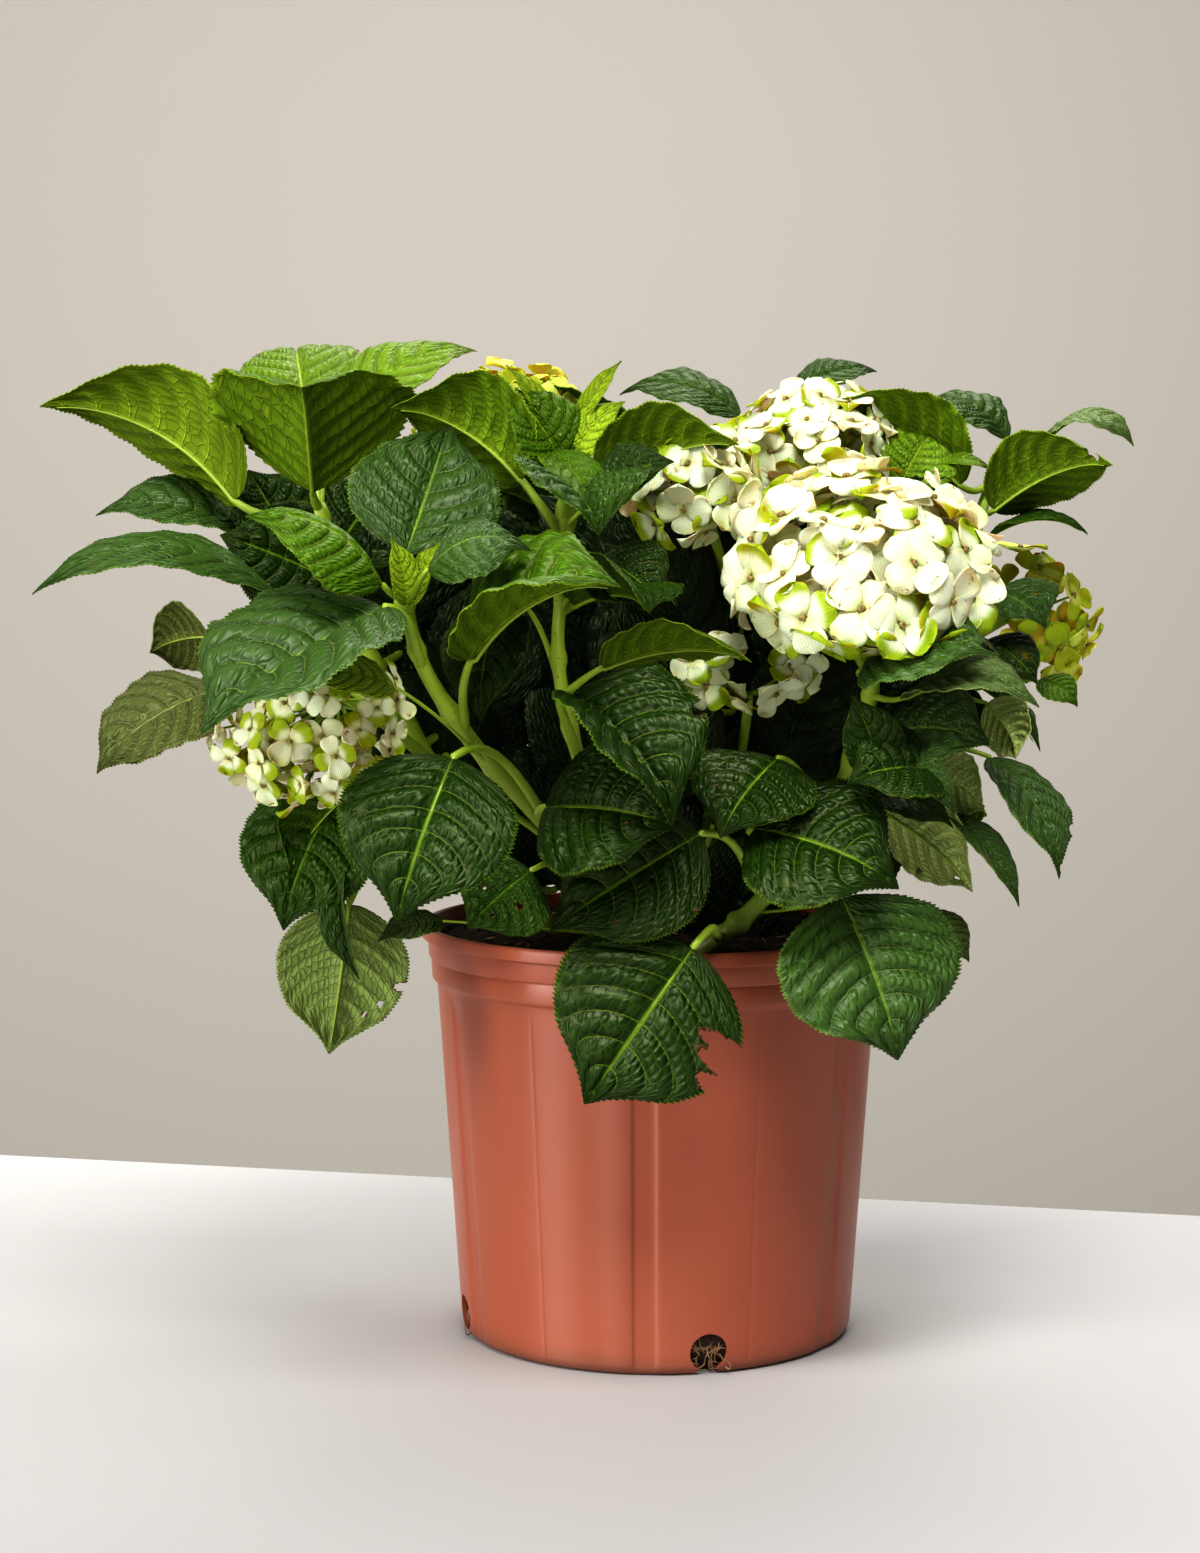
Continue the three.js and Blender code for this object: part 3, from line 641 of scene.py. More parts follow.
def bladeGrid(place, dice, look):
    rows, columns = look["rows"], look["columns"]
    base, bend, tip, up = leafFrame(place)
    t = np.linspace(look["first"], look["last"], rows)
    side = np.linspace(-1, 1, columns)
    side = np.sign(side) * np.abs(side) ** 0.9
    spot, way = bezier(base, bend, tip, t)
    out = unit(up - way * (way @ up)[:, None])
    across = np.cross(out, way)
    half = place.width / 2 * 2.95 * t ** 0.65 * (1 - t) ** 0.95
    half = half * (1 - look["pointed"] * smoothStep(t, 0.7, 0.95))
    scale = place.width / look["width"]
    saw = (np.arange(rows) % look["toothRows"]) / (look["toothRows"] - 1)
    tooth = look["toothDepth"] * scale * saw * np.clip(t * 12, 0, 1) * np.clip((1 - t) * 8, 0, 1)
    tt, ss = np.meshgrid(t, side, indexing="ij")
    fold = math.radians(place.fold)
    edge = np.abs(ss) > 0.999
    reach = half[:, None] * ss + edge * np.sign(ss) * tooth[:, None]
    rise = half[:, None] * (math.sin(fold) * np.abs(ss) - look["sag"] * ss ** 2)
    phase = veinPhase(tt, ss)
    calm = np.clip(tt * 5, 0, 1) * np.clip((1 - tt) * 5, 0, 1)
    blister = np.abs(np.sin(math.pi * phase)) ** 0.6 * (1 - np.abs(ss) ** 5) * calm
    blister = blister * np.clip(np.abs(ss) * 6, 0, 1)
    waves = dice.uniform(1.6, 2.4)
    turn = dice.uniform(0, 6.28)
    ripple = np.sin(2 * math.pi * waves * tt + turn + 1.4 * np.sign(ss)) * ss ** 2 * calm
    small = np.sin(2 * math.pi * look["veins"] * tt + turn) * ss ** 4 * calm
    rise = rise + scale * (look["blister"] * blister + look["wave"] * ripple + 0.9 * small)
    rise = rise - look["groove"] * scale * np.exp(-(ss / 0.06) ** 2) * calm
    rise = rise - tipDroop(place, look, tt)
    points = spot[:, None, :] + reach[..., None] * math.cos(fold) * across[:, None, :]
    points = points + rise[..., None] * out[:, None, :]
    return points, tt, ss, out


def gridNormals(points):
    down = np.gradient(points, axis=0)
    over = np.gradient(points, axis=1)
    return unit(np.cross(down, over))


def putLeaf(heap, name, place, look, wear=(), firstSlot=0, stalkSlot=2):
    dice = random.Random(name)
    points, tt, ss, out = bladeGrid(place, dice, look)
    rows, columns = look["rows"], look["columns"]
    middleT = (tt[:-1, :-1] + tt[1:, 1:]) / 2
    middleS = (ss[:-1, :-1] + ss[1:, 1:]) / 2
    keep = np.ones(middleT.shape, dtype=bool)
    dried = np.zeros(tt.shape)
    for atT, atS, sizeT, sizeS in wear:
        ragged = 1 + 0.10 * np.sin(60 * middleT + 9 * middleS)
        keep &= ((middleT - atT) / sizeT) ** 2 + ((middleS - atS) / sizeS) ** 2 > ragged
        rim = np.sqrt(((tt - atT) / sizeT) ** 2 + ((ss - atS) / sizeS) ** 2) - 1
        dried = np.maximum(dried, np.clip(1 - rim * 2.2 * max(1, 7 * sizeS), 0, 1))
    under = points - look["thickness"] * gridNormals(points)
    shell, faces, slots, used = sheetShell(points, under, rows, columns, keep)
    uv = np.stack([tt.ravel(), (ss.ravel() + 1) / 2], axis=1)
    uv = np.concatenate([uv, uv])[used]
    plain = np.ones(tt.size)
    shades = np.stack([plain * dice.random() * 0.6, dried.ravel(), plain * dice.random(), plain], axis=1)
    shades = np.concatenate([shades, shades])[used]
    heap.put(shell * mm, faces, [slot + firstSlot for slot in slots], uv, shades)
    # the stalk runs from the cane into the blade, then on under it as the midrib
    base, bend, tip, up = leafFrame(place)
    foot = alongLine(caneLines[place.cane], place.at)
    reach = np.linalg.norm(base - foot)
    way = unit(bend - base)
    u = np.linspace(0, 1, 14)[:, None]
    leave = foot + 0.3 * (base - foot)
    enter = base - 0.4 * reach * unit(way + 0.7 * unit(base - foot))
    stalk = (1 - u) ** 3 * foot + 3 * u * (1 - u) ** 2 * leave
    stalk = stalk + 3 * u ** 2 * (1 - u) * enter + u ** 3 * base
    ribT = np.linspace(0.02, 0.93, 22)
    ribSpot = bezier(base, bend, tip, ribT)[0]
    ribOut = np.stack([np.interp(ribT, tt[:, 0], out[:, k]) for k in range(3)], axis=1)
    sink = look["groove"] * place.width / look["width"] + look["thickness"] + 0.2
    sink = sink + tipDroop(place, look, ribT)
    rib = ribSpot - ribOut * sink[:, None]
    size = min(1.0, place.width / 80)
    radii = np.concatenate([np.linspace(1.25, 0.85, 14) * look["stalk"] * size,
                            look["rib"] * size * (1 - 0.8 * ribT)])
    heap.putBar(np.concatenate([stalk, rib]), radii, 8, stalkSlot)


for name, place in leafPlaces.items():
    heap = Heap()
    putLeaf(heap, name, place, leafLook, leafWear.get(name, ()))
    piece = heap.make("leaf_" + name + "_blade", leafFinishes[place.tone])
    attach(piece, "root")
    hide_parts("leaf_" + name)
print("leaves made:", len(leafPlaces))


def makeLeafGroup(name, places, look):
    # several leaves in one piece, with every tone's two sides and the stalk as its finishes
    heap = Heap()
    for label, place in places.items():
        putLeaf(heap, label, place, look, leafWear.get(label, ()), toneNames.index(place.tone) * 2,
                len(toneNames) * 2)
    finishes = [side for tone in toneNames for side in leafFinishes[tone][:2]] + [stalkGreen]
    piece = heap.make(name, finishes)
    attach(piece, "root")


def nearestCane(spot):
    best = None
    for name, line in caneLines.items():
        for share in np.linspace(0.3, 0.98, 18):
            gap = np.linalg.norm(alongLine(line, share) - spot)
            if best is None or gap < best[0]:
                best = (gap, name, share)
    return best[1], best[2]


innerFill = dict(left=-180, right=185, low=280, high=500, stepAcross=46, stepUp=48, depth=-40,
                 halfWidth=205, middle=395, halfHeight=122)
rearFill = dict(count=46, middle=(0, 8, 372), reach=(200, 178, 172), split=0.6,
                lowTones=["deep", "mature", "mature", "mature", "fresh"], topTones=["mature", "fresh"])
goldenTurn = 2.39996  # the turn from one leaf or floret to the next, in radians


def innerLeaves():
    # dark leaves inside the bush, behind the leaves at the front; their shade tone is painted shade
    dice = random.Random(11)
    places = {}
    for x in np.arange(innerFill["left"], innerFill["right"], innerFill["stepAcross"]):
        for z in np.arange(innerFill["low"], innerFill["high"], innerFill["stepUp"]):
            up = (z - innerFill["middle"]) / innerFill["halfHeight"]
            if (x / innerFill["halfWidth"]) ** 2 + up ** 2 > 1:
                continue
            spot = np.array([x + dice.uniform(-12, 12), innerFill["depth"] + dice.uniform(-18, 18),
                             z + dice.uniform(-12, 12)])
            turn = math.atan2(z - 250, x) + dice.uniform(-0.7, 0.7)
            length = dice.uniform(80, 102)
            way = np.array([math.cos(turn), dice.uniform(-0.3, 0.1), math.sin(turn)]) * length / 2
            cane, share = nearestCane(spot - way)
            face = (0.3 * math.cos(turn) + dice.uniform(-0.3, 0.3), -0.85, 0.45)
            places["inner%d" % len(places)] = Leaf(cane, share, tuple(spot - way), tuple(spot + way),
                                                   length * 0.72, face, 8, dice.uniform(5, 14), "shade")
    return places


def rearLeaves():
    # the half of the bush at the back, its leaves laid like shingles over a rounded form
    dice = random.Random(23)
    places = {}
    for i in range(rearFill["count"] * 2):
        up = 0.98 - 1.62 * (i + 0.5) / (rearFill["count"] * 2)
        turn = i * goldenTurn
        flat = math.sqrt(1 - up ** 2)
        ball = np.array([flat * math.cos(turn), flat * math.sin(turn), up])
        if ball[1] < 0.02:
            continue
        spot = np.array(rearFill["middle"]) + ball * np.array(rearFill["reach"]) * dice.uniform(0.78, 1.0)
        outward = unit([ball[0], ball[1], 0.15])
        swing = np.cross([0, 0, 1], outward) * dice.uniform(-0.6, 0.6)
        way = unit(outward * 0.75 + swing + np.array([0, 0, 0.35 - 0.95 * (1 - up)]))
        length = dice.uniform(88, 116)
        base = spot - way * length * 0.55
        tip = spot + way * length * 0.45
        cane, share = nearestCane(base)
        face = tuple(outward * 0.55 + np.array([0, 0, 0.8]))
        tone = dice.choice(rearFill["lowTones"] if up < rearFill["split"] else rearFill["topTones"])
        width = length * dice.uniform(0.66, 0.78)
        places["rear%d" % len(places)] = Leaf(cane, share, tuple(base), tuple(tip), width, face,
                                              dice.uniform(8, 16), dice.uniform(4, 16), tone)
    return places


groups = {"left": ("left", "low", "rim", "rear_dark"), "right": ("right", "upper", "pot"),
          "middle": ("middle", "top", "shoot", "front", "bud")}
for side, starts in groups.items():
    makeLeafGroup("small_leaves_" + side, {name: place for name, place in smallLeaves.items()
                                           if name.startswith(starts)}, leafLook)
inner, rear = innerLeaves(), rearLeaves()
makeLeafGroup("inner_leaves", inner, fillLook)
makeLeafGroup("rear_leaves", rear, fillLook)
print("leaves filled in:", len(smallLeaves), len(inner), len(rear))

for name in caneLines:
    makeCane(name)
print("canes made:", len(caneLines))


# flower heads

# cane, place on it, centre, radius, way the dome faces, floret size, greenness,
# the dome's height above and below its middle as shares of the radius, and
# the room between florets and a petal's breadth as shares of the floret size
headPlaces = {
    "head_front": ("cane_low", 0.98, (110, -150, 459), 72, (0.04, -0.58, 0.81),
        21.0, 0.55, 0.64, 0.6, 1.55, 1.1),
    "head_upper": ("cane_upper", 0.98, (90, -32, 517), 53, (0, -0.35, 0.95),
        15.0, 0.35, 0.9, 0.75, 1.5, 1.1),
    "head_middle": ("cane_upper", 0.6, (22, -100, 503), 36, (-0.3, -0.6, 0.7),
        17.5, 0.6, 0.78, 0.5, 1.55, 1.1),
    "head_right": ("cane_right", 0.6, (222, 10, 432), 46, (0.6, -0.6, 0.4),
        16.5, 1.15, 0.78, 0.5, 1.6, 1.0),
    "head_left": ("cane_left", 0.5, (-189, -165, 389), 64, (-0.45, -0.8, 0.1),
        13.0, 0.7, 0.74, 0.5, 1.8, 0.92),
    "head_low": ("cane_upper", 0.4, (52, -85, 405), 46, (0, -0.35, 0.95),
        15.5, 0.7, 0.6, 0.55, 1.6, 1.0),
    "head_back": ("cane_back_left", 0.98, (-94, 60, 535), 52, (-0.1, -0.1, 0.98),
        15.0, 1.05, 0.78, 0.5, 1.5, 1.05),
}
# a sparse head grows only round these spots, given with their sizes
headClumps = {
    "head_left": (((-208, -178, 364), 44), ((-184, -188, 364), 46), ((-160, -178, 370), 42)),
    "head_low": (((26, -110, 395), 25), ((79, -112, 391), 22)),
    "head_right": (((221, -18, 456), 30), ((243, -14, 412), 34)),
}
# radii of the stalk and the twigs, how many florets fill a dome, and its layers:
# each one's share of the radius and of the florets, and how far round it goes
headLook = dict(stalk=(3.6, 2.6), twig=(1.2, 0.7), crowd=2.55,
                layers=((0.93, 1.0, 1.5), (0.72, 0.45, 1.35)))
petalLook = dict(rows=9, columns=9, cream=(0.97, 0.90, 0.68), yellow=(0.84, 0.82, 0.16),
                 lime=(0.33, 0.44, 0.008), thickness=0.3)


def petalFinish(name, cream):
    finish = Finish(name, Roughness=0.58, Specular_IOR_Level=0.3, Subsurface_Weight=0.35,
                    Subsurface_Scale=0.004)
    shade = finish.add("ShaderNodeAttribute", {"attribute_name": "shade"}, None, "Color")
    part = finish.tree.nodes.new("ShaderNodeSeparateColor")
    finish.tree.links.new(shade.socket, part.inputs[0])
    green, reach, tone = [Amount(finish.tree, socket) for socket in part.outputs[:3]]
    spot = finish.objectSpot()
    cloud = finish.noise(70, 3, spot)
    green = finish.between(green + (cloud - 0.5) * 0.5, 0.12, 0.95)
    color = finish.blend(tone * 0.5, cream, [c * share for c, share in zip(cream, (0.97, 0.94, 0.62))])
    # near the floret's middle the colour turns darker yellow-green: partly the petals' own colour, partly
    # painted shade where the petals meet
    color = finish.blend((1 - finish.between(reach, 0.05, 0.4)) * 0.6, color, (0.62, 0.60, 0.14))
    color = finish.blend(green, color, petalLook["lime"])
    growth = finish.add("ShaderNodeUVMap", {"uv_map": "growth"})
    across = finish.part(growth, "Y")
    veins = finish.add("ShaderNodeMath", {"operation": "SINE"}, {0: across * 70 + cloud * 6})
    veins = finish.between(veins, 0.55, 1.0) * (1 - reach * 0.5)
    color = finish.blend(veins * 0.25, color, (0.50, 0.50, 0.14))
    burn = finish.between(finish.noise(170, 4, spot, 0.65) + reach * 0.10, 0.735, 0.765)
    color = finish.blend(burn * 0.8, color, (0.25, 0.10, 0.03))
    finish.use("Base Color", color)
    finish.use("Normal", finish.bump(veins * 0.4 + cloud, 0.6, 0.0012))
    return finish.material


def eyeFinish():
    finish = Finish("floretEye", Roughness=0.6)
    spot = finish.objectSpot()
    cloud = finish.noise(160, 2, spot)
    finish.use("Base Color", finish.blend(cloud, (0.40, 0.34, 0.10), (0.16, 0.06, 0.03)))
    finish.use("Normal", finish.bump(finish.noise(700, 2, spot), 0.3, 0.0003))
    return finish.material


petalCream = petalFinish("petalCream", petalLook["cream"])
petalYellow = petalFinish("petalYellow", petalLook["yellow"])
floretEye = eyeFinish()


def petalGrid(length, width, cup, wave, turn):
    rows, columns = petalLook["rows"], petalLook["columns"]
    r = 1 - (1 - np.linspace(0.03, 0.999, rows)) ** 1.6
    a = np.linspace(-1, 1, columns)
    rr, aa = np.meshgrid(r, a, indexing="ij")
    half = width / 2 * 1.39 * rr ** 0.55 * np.sqrt(np.maximum(1 - rr ** 4, 0.0004))
    x = length * rr * (1 - 0.05 * aa ** 2 * rr)
    y = half * aa
    ripple = 0.10 * wave * np.sin(3.5 * aa + turn) * rr ** 2
    z = length * (0.26 * cup * rr ** 2 + 0.18 * cup * aa ** 2 * rr + ripple)
    z = z - length * 0.22 * np.clip(rr - 0.5, 0, 1) ** 2 / 0.25
    return np.stack([x, y, z], axis=-1), rr, aa


def putFloret(heap, dice, centre, normal, size, green, lower, broad):
    side = unit(np.cross(normal, anyWay(dice)))
    other = np.cross(normal, side)
    count = 5 if dice.random() < 0.18 else 4
    spin = dice.uniform(0, 6.28)
    # florets low on the dome get more lime green as painted shade; the rest of the greenness comes from the
    # head and varies at random
    mood = green * dice.uniform(0.3, 1.25) + 0.25 * lower
    tone = dice.random()
    for k in range(count):
        length = size * dice.uniform(0.88, 1.06)
        width = length * broad * dice.uniform(0.92, 1.08) * (1.0 if count == 4 else 0.86)
        cup, wave, turn = dice.uniform(-0.5, 1.3), dice.uniform(0.4, 1.2), dice.uniform(0, 6)
        grid, rr, aa = petalGrid(length, width, cup, wave, turn)
        under = grid - petalLook["thickness"] * gridNormals(grid)
        angle = spin + 2 * math.pi * k / count + dice.uniform(-0.1, 0.1)
        ahead = math.cos(angle) * side + math.sin(angle) * other
        left = np.cross(normal, ahead)
        tilt = dice.uniform(-0.08, 0.16)
        fore = ahead * math.cos(tilt) + normal * math.sin(tilt)
        rise = normal * math.cos(tilt) - ahead * math.sin(tilt)
        step = 0.5 if k % 2 else -0.5
        shell, faces, slots, used = sheetShell(grid, under, petalLook["rows"], petalLook["columns"])
        place = centre + normal * step
        world = place + shell[:, :1] * fore + shell[:, 1:2] * left + shell[:, 2:] * rise
        own = 1.0 if dice.random() < 0.55 * mood + 0.12 else dice.uniform(0, 0.35)
        spread = smoothStep(rr + 0.12 * np.abs(aa), 0.7 - 0.65 * mood * own, 1.0 - 0.25 * mood * own)
        mix = np.full(rr.shape, tone * 0.6 + 0.4 * dice.random())
        shades = np.stack([own * spread + 0.22 * mood, rr, mix, np.ones(rr.shape)], axis=-1)
        shades = np.concatenate([shades.reshape(-1, 4)] * 2)[used]
        uv = np.stack([rr.ravel(), (aa.ravel() + 1) / 2], axis=1)
        heap.put(world * mm, faces, 0, np.concatenate([uv, uv])[used], shades)
    eye = size * 0.075
    turns = [(dice.uniform(-1, 1), dice.uniform(-1, 1)) for _ in range(3)]
    for u, v in turns:
        start = centre + (side * u + other * v) * eye * 0.6
        line = np.array([start - normal * 0.3, start + normal * eye, start + normal * eye * 1.7])
        heap.putBar(line, np.array([0.7, 1.0, 0.5]) * eye, 6, 1)


def makeHead(name):
    caneName, at, centre, radius, facing, size, green, topShare, lowShare, room, broad = headPlaces[name]
    dice = random.Random(name)
    centre, up = np.array(centre, dtype=float), unit(facing)
    sideways = unit(np.cross(up, [0.31, 0.9, 0.2]))
    other = np.cross(up, sideways)
    gap = size * room
    count = int(headLook["crowd"] * math.pi * radius ** 2 / gap ** 2)
    heap, stalks = Heap(), Heap()
    foot = alongLine(caneLines[caneName], at)
    bend = centre - 0.9 * radius * up
    hub = centre - 0.45 * radius * up
    stalks.putBar(arch(foot, bend, hub, 16), np.linspace(*headLook["stalk"], 16), 9)
    for layer, share, wrap in headLook["layers"]:
        total = int(count * share)
        for i in range(total):
            depth = 1 - (i + 0.5) / total * wrap
            turn = i * goldenTurn + layer * 9
            flat = math.sqrt(max(0.0, 1 - depth ** 2))
            ball = np.array([flat * math.cos(turn), flat * math.sin(turn), depth])
            ball = unit(ball + anyWay(dice) * 0.09)
            squash = topShare if ball[2] > 0 else lowShare
            spot = radius * layer * np.array([ball[0], ball[1], ball[2] * squash])
            slope = unit(np.array([ball[0], ball[1], ball[2] / squash]))
            jitter = anyWay(dice) * 0.5 + np.array([0, -0.16, 0.1])
            place = centre + spot[0] * sideways + spot[1] * other + spot[2] * up
            normal = unit(slope[0] * sideways + slope[1] * other + slope[2] * up + jitter)
            place = place + normal * dice.uniform(-0.09, 0.03) * radius
            clumps = headClumps.get(name, ())
            if clumps and all(np.linalg.norm(place - spot) > reach for spot, reach in clumps):
                continue
            # how far a floret sits below the dome's middle, which greens it as painted shade
            lower = max(0.0, -ball[2])
            putFloret(heap, dice, place, normal, size * dice.uniform(0.86, 1.1), green, lower, broad)
            if share == 1 and i % 2 == 0:
                # every second floret of the outer layer has a twig of its own
                middle = (hub + place) / 2 - 0.12 * radius * up
                twig = arch(hub, middle, place - normal * 1.5, 7)
                stalks.putBar(twig, np.linspace(*headLook["twig"], 7), 6)
    florets = heap.make(name + "_florets", [petalYellow if green > 1 else petalCream, floretEye])
    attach(florets, "root")
    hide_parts(name)
    sprays = stalks.make(name + "_stalks", [stalkGreen])
    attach(sprays, "root")


for name in headPlaces:
    makeHead(name)
print("flower heads made:", len(headPlaces))


# pot

potLook = dict(color=(0.40, 0.114, 0.060), dark=(0.33, 0.085, 0.042), roughness=0.31, sides=180,
               floor=2.4, grooves=6, grooveStart=-93, grooveWidth=13.4, grooveDepth=1.5, mouldLine=0.22,
               drains=4, drainStart=-75, drainRound=11, drainCentre=13.5, drainNeck=5.5)


def potFinish():
    # the satin of the moulded wall spreads a highlight up and down, not round the pot
    finish = Finish("potPlastic", Specular_IOR_Level=0.62, Anisotropic=0.85, Anisotropic_Rotation=0.25)
    spot = finish.objectSpot()
    broad = finish.noise(9, 3, spot)
    fine = finish.noise(260, 3, spot)
    stretched = finish.add("ShaderNodeMapping", None, {"Vector": spot, "Scale": (1, 1, 0.06)})
    drawn = finish.noise(150, 3, stretched)
    color = finish.blend(broad * 0.5, potLook["color"], potLook["dark"])
    color = finish.blend(finish.between(fine, 0.62, 0.75) * 0.03, color, (0.62, 0.36, 0.26))
    height = finish.part(spot, "Z")
    # the wall is darker over its lowest 16 mm
    footDarkening = (1 - finish.between(height + (broad - 0.5) * 0.02, 0.0, 0.016)) * 0.5
    color = finish.blend(footDarkening, color, (0.12, 0.06, 0.035))
    finish.use("Base Color", color)
    finish.use("Roughness", potLook["roughness"] + broad * 0.10 + drawn * 0.06)
    finish.use("Normal", finish.bump(drawn * 0.5 + fine * 0.15, 0.10, 0.0006))
    return finish.material


def roundedProfile():
    # [radius, height] up the outside, over the rolled lip and down the inside
    outer = [(0, 0), (60, 0), (108, 0)]
    outer += [(109 + 7.5 * math.sin(a), 7.5 * (1 - math.cos(a))) for a in np.linspace(0, math.pi / 2, 8)]
    outer += [(117.5 + 13 * (z - 20) / 190.5, z) for z in np.linspace(14, 209.5, 44)]
    outer += [(130.8, 210.8), (131.6, 211.6), (132.8, 212.2), (133.4, 213), (133.6, 215), (134.0, 223.2),
              (133.5, 224.1), (133.5, 224.8), (134.9, 225.4), (135.5, 226.4), (135.9, 236.3),
              (136.6, 236.9), (139.0, 237.1), (139.9, 237.8), (140, 239), (140, 242.6), (139.5, 244.2),
              (138.2, 245), (136.6, 245), (135.6, 244.4), (135.2, 243)]
    inner = [(133.4, 228), (132.6, 226), (131.4, 213), (130.6, 210.5), (128.2, 208)]
    inner += [(115.1 + 13 * (z - 20) / 187, z) for z in np.linspace(200, 20, 12)]
    inner += [(113.4, 8), (111, 4.2), (107, potLook["floor"]), (0, potLook["floor"])]
    return outer + inner


def potShape():
    profile = np.array(roundedProfile())
    turns = list(np.linspace(0, 2 * math.pi, potLook["sides"], endpoint=False))
    edgeColumns = (5.2, 5.8, 6.3, 6.7, 7.1, 7.6, 8.2)
    lineColumns = (-1.4, -0.7, 0, 0.7, 1.4)
    start = math.radians(potLook["grooveStart"])
    for k in range(potLook["grooves"] * 2):
        # more columns at the edges of each groove and at each mould line
        at = start + math.pi * k / potLook["grooves"]
        places = lineColumns if k % 2 else [-x for x in edgeColumns] + list(edgeColumns)
        turns += [(at + place / 124) % (2 * math.pi) for place in places]
    turns = np.unique(np.round(turns, 5))
    sides = len(turns)
    radius = np.repeat(profile[:, :1], sides, axis=1)
    height = np.repeat(profile[:, 1:], sides, axis=1)
    step = 2 * math.pi / potLook["grooves"]
    off = (turns - start + step / 2) % step - step / 2
    arc = np.abs(off)[None, :] * np.maximum(radius, 1)
    edge = potLook["grooveWidth"] / 2
    sunk = 1 / (1 + np.exp((arc - edge) * 1.7))
    offLine = (turns - start) % step - step / 2
    crease = np.exp(-((np.abs(offLine)[None, :] * np.maximum(radius, 1)) / 0.9) ** 2)
    # the grooves and mould lines fade out over the rounded base and under the collar
    outside = np.arange(len(profile)) < len(profile) - 21  # the last 21 rows are the inside
    fade = np.clip((205 - profile[:, 1]) / 6, 0, 1) * np.clip(profile[:, 1] / 7, 0, 1) * outside
    radius = radius - fade[:, None] * (potLook["grooveDepth"] * sunk + potLook["mouldLine"] * crease)
    points = np.stack([radius * np.cos(turns), radius * np.sin(turns), height], axis=-1)
    rows = len(profile)
    points = points.reshape(-1, 3)[sides:(rows - 1) * sides]
    faces = ringFaces(rows - 3, sides)
    bottom, floor = len(points), len(points) + 1
    points = np.vstack([points, [[0, 0, 0], [0, 0, potLook["floor"]]]])
    last = (rows - 3) * sides
    for k in range(sides):
        faces.append((bottom, (k + 1) % sides, k))
        faces.append((floor, last + k, last + (k + 1) % sides))
    return points, faces


drainAngles = [potLook["drainStart"] + 360 * k / potLook["drains"] for k in range(potLook["drains"])]


def drainCutter(angle):
    half, roundness, middle = potLook["drainNeck"], potLook["drainRound"], potLook["drainCentre"]
    start = math.asin(half / roundness)
    arc = np.linspace(-math.pi / 2 + start, 1.5 * math.pi - start, 30)
    outline = [(roundness * math.cos(a), middle + roundness * math.sin(a)) for a in arc]
    outline += [(-half - 2.5, -3), (half + 2.5, -3)]
    outline = np.array(outline)
    turn = math.radians(angle)
    ahead, left = np.array([math.cos(turn), math.sin(turn)]), np.array([-math.sin(turn), math.cos(turn)])
    points = []
    for reach in (101, 135):
        flat = reach * ahead + outline[:, :1] * left
        points.append(np.column_stack([flat, outline[:, 1]]))
    count = len(outline)
    faces = [tuple(range(count))[::-1], tuple(range(count, 2 * count))]
    faces += [(k, (k + 1) % count, (k + 1) % count + count, k + count) for k in range(count)]
    return makePiece("cutter", np.concatenate(points) * mm, faces, [], smooth=False)


def makePot():
    points, faces = potShape()
    piece = makePiece("nursery_pot", points * mm, faces, [potFinish()])
    cutters = [drainCutter(angle) for angle in drainAngles]
    for cutter in cutters:
        cut = piece.modifiers.new("drain", "BOOLEAN")
        cut.operation = "DIFFERENCE"
        cut.object = cutter
        cut.solver = "EXACT"
    bpy.context.view_layer.update()
    ready = bpy.data.meshes.new_from_object(piece.evaluated_get(bpy.context.evaluated_depsgraph_get()))
    piece.modifiers.clear()
    piece.data = ready
    for cutter in cutters:
        bpy.data.objects.remove(cutter)
    ready.set_sharp_from_angle(angle=math.radians(42))
    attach(piece, "root")
    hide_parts("pot")


makePot()
print("pot made")


# soil and roots

soilLook = dict(top=236.5, mound=4.5, radius=131, sides=160, chips=700, roots=34,
                loose=((113, 9, 6), (118, 11.5, 3.5), (119.5, 12, 6), (119, 8.5, 10)))


def soilFinish():
    finish = Finish("soilBrown")
    spot = finish.objectSpot()
    clump = finish.noise(160, 5, spot, 0.65)
    grit = finish.noise(620, 3, spot, 0.6)
    color = finish.blend(clump, (0.012, 0.008, 0.006), (0.075, 0.045, 0.028))
    color = finish.blend(finish.between(grit, 0.66, 0.74) * 0.6, color, (0.22, 0.15, 0.10))
    finish.use("Base Color", color)
    finish.use("Roughness", 0.85 + grit * 0.12)
    finish.use("Normal", finish.bump(clump + grit * 0.5, 0.9, 0.002))
    return finish.material


def soilTop(r):
    return soilLook["top"] + soilLook["mound"] * (1 - (r / soilLook["radius"]) ** 2)


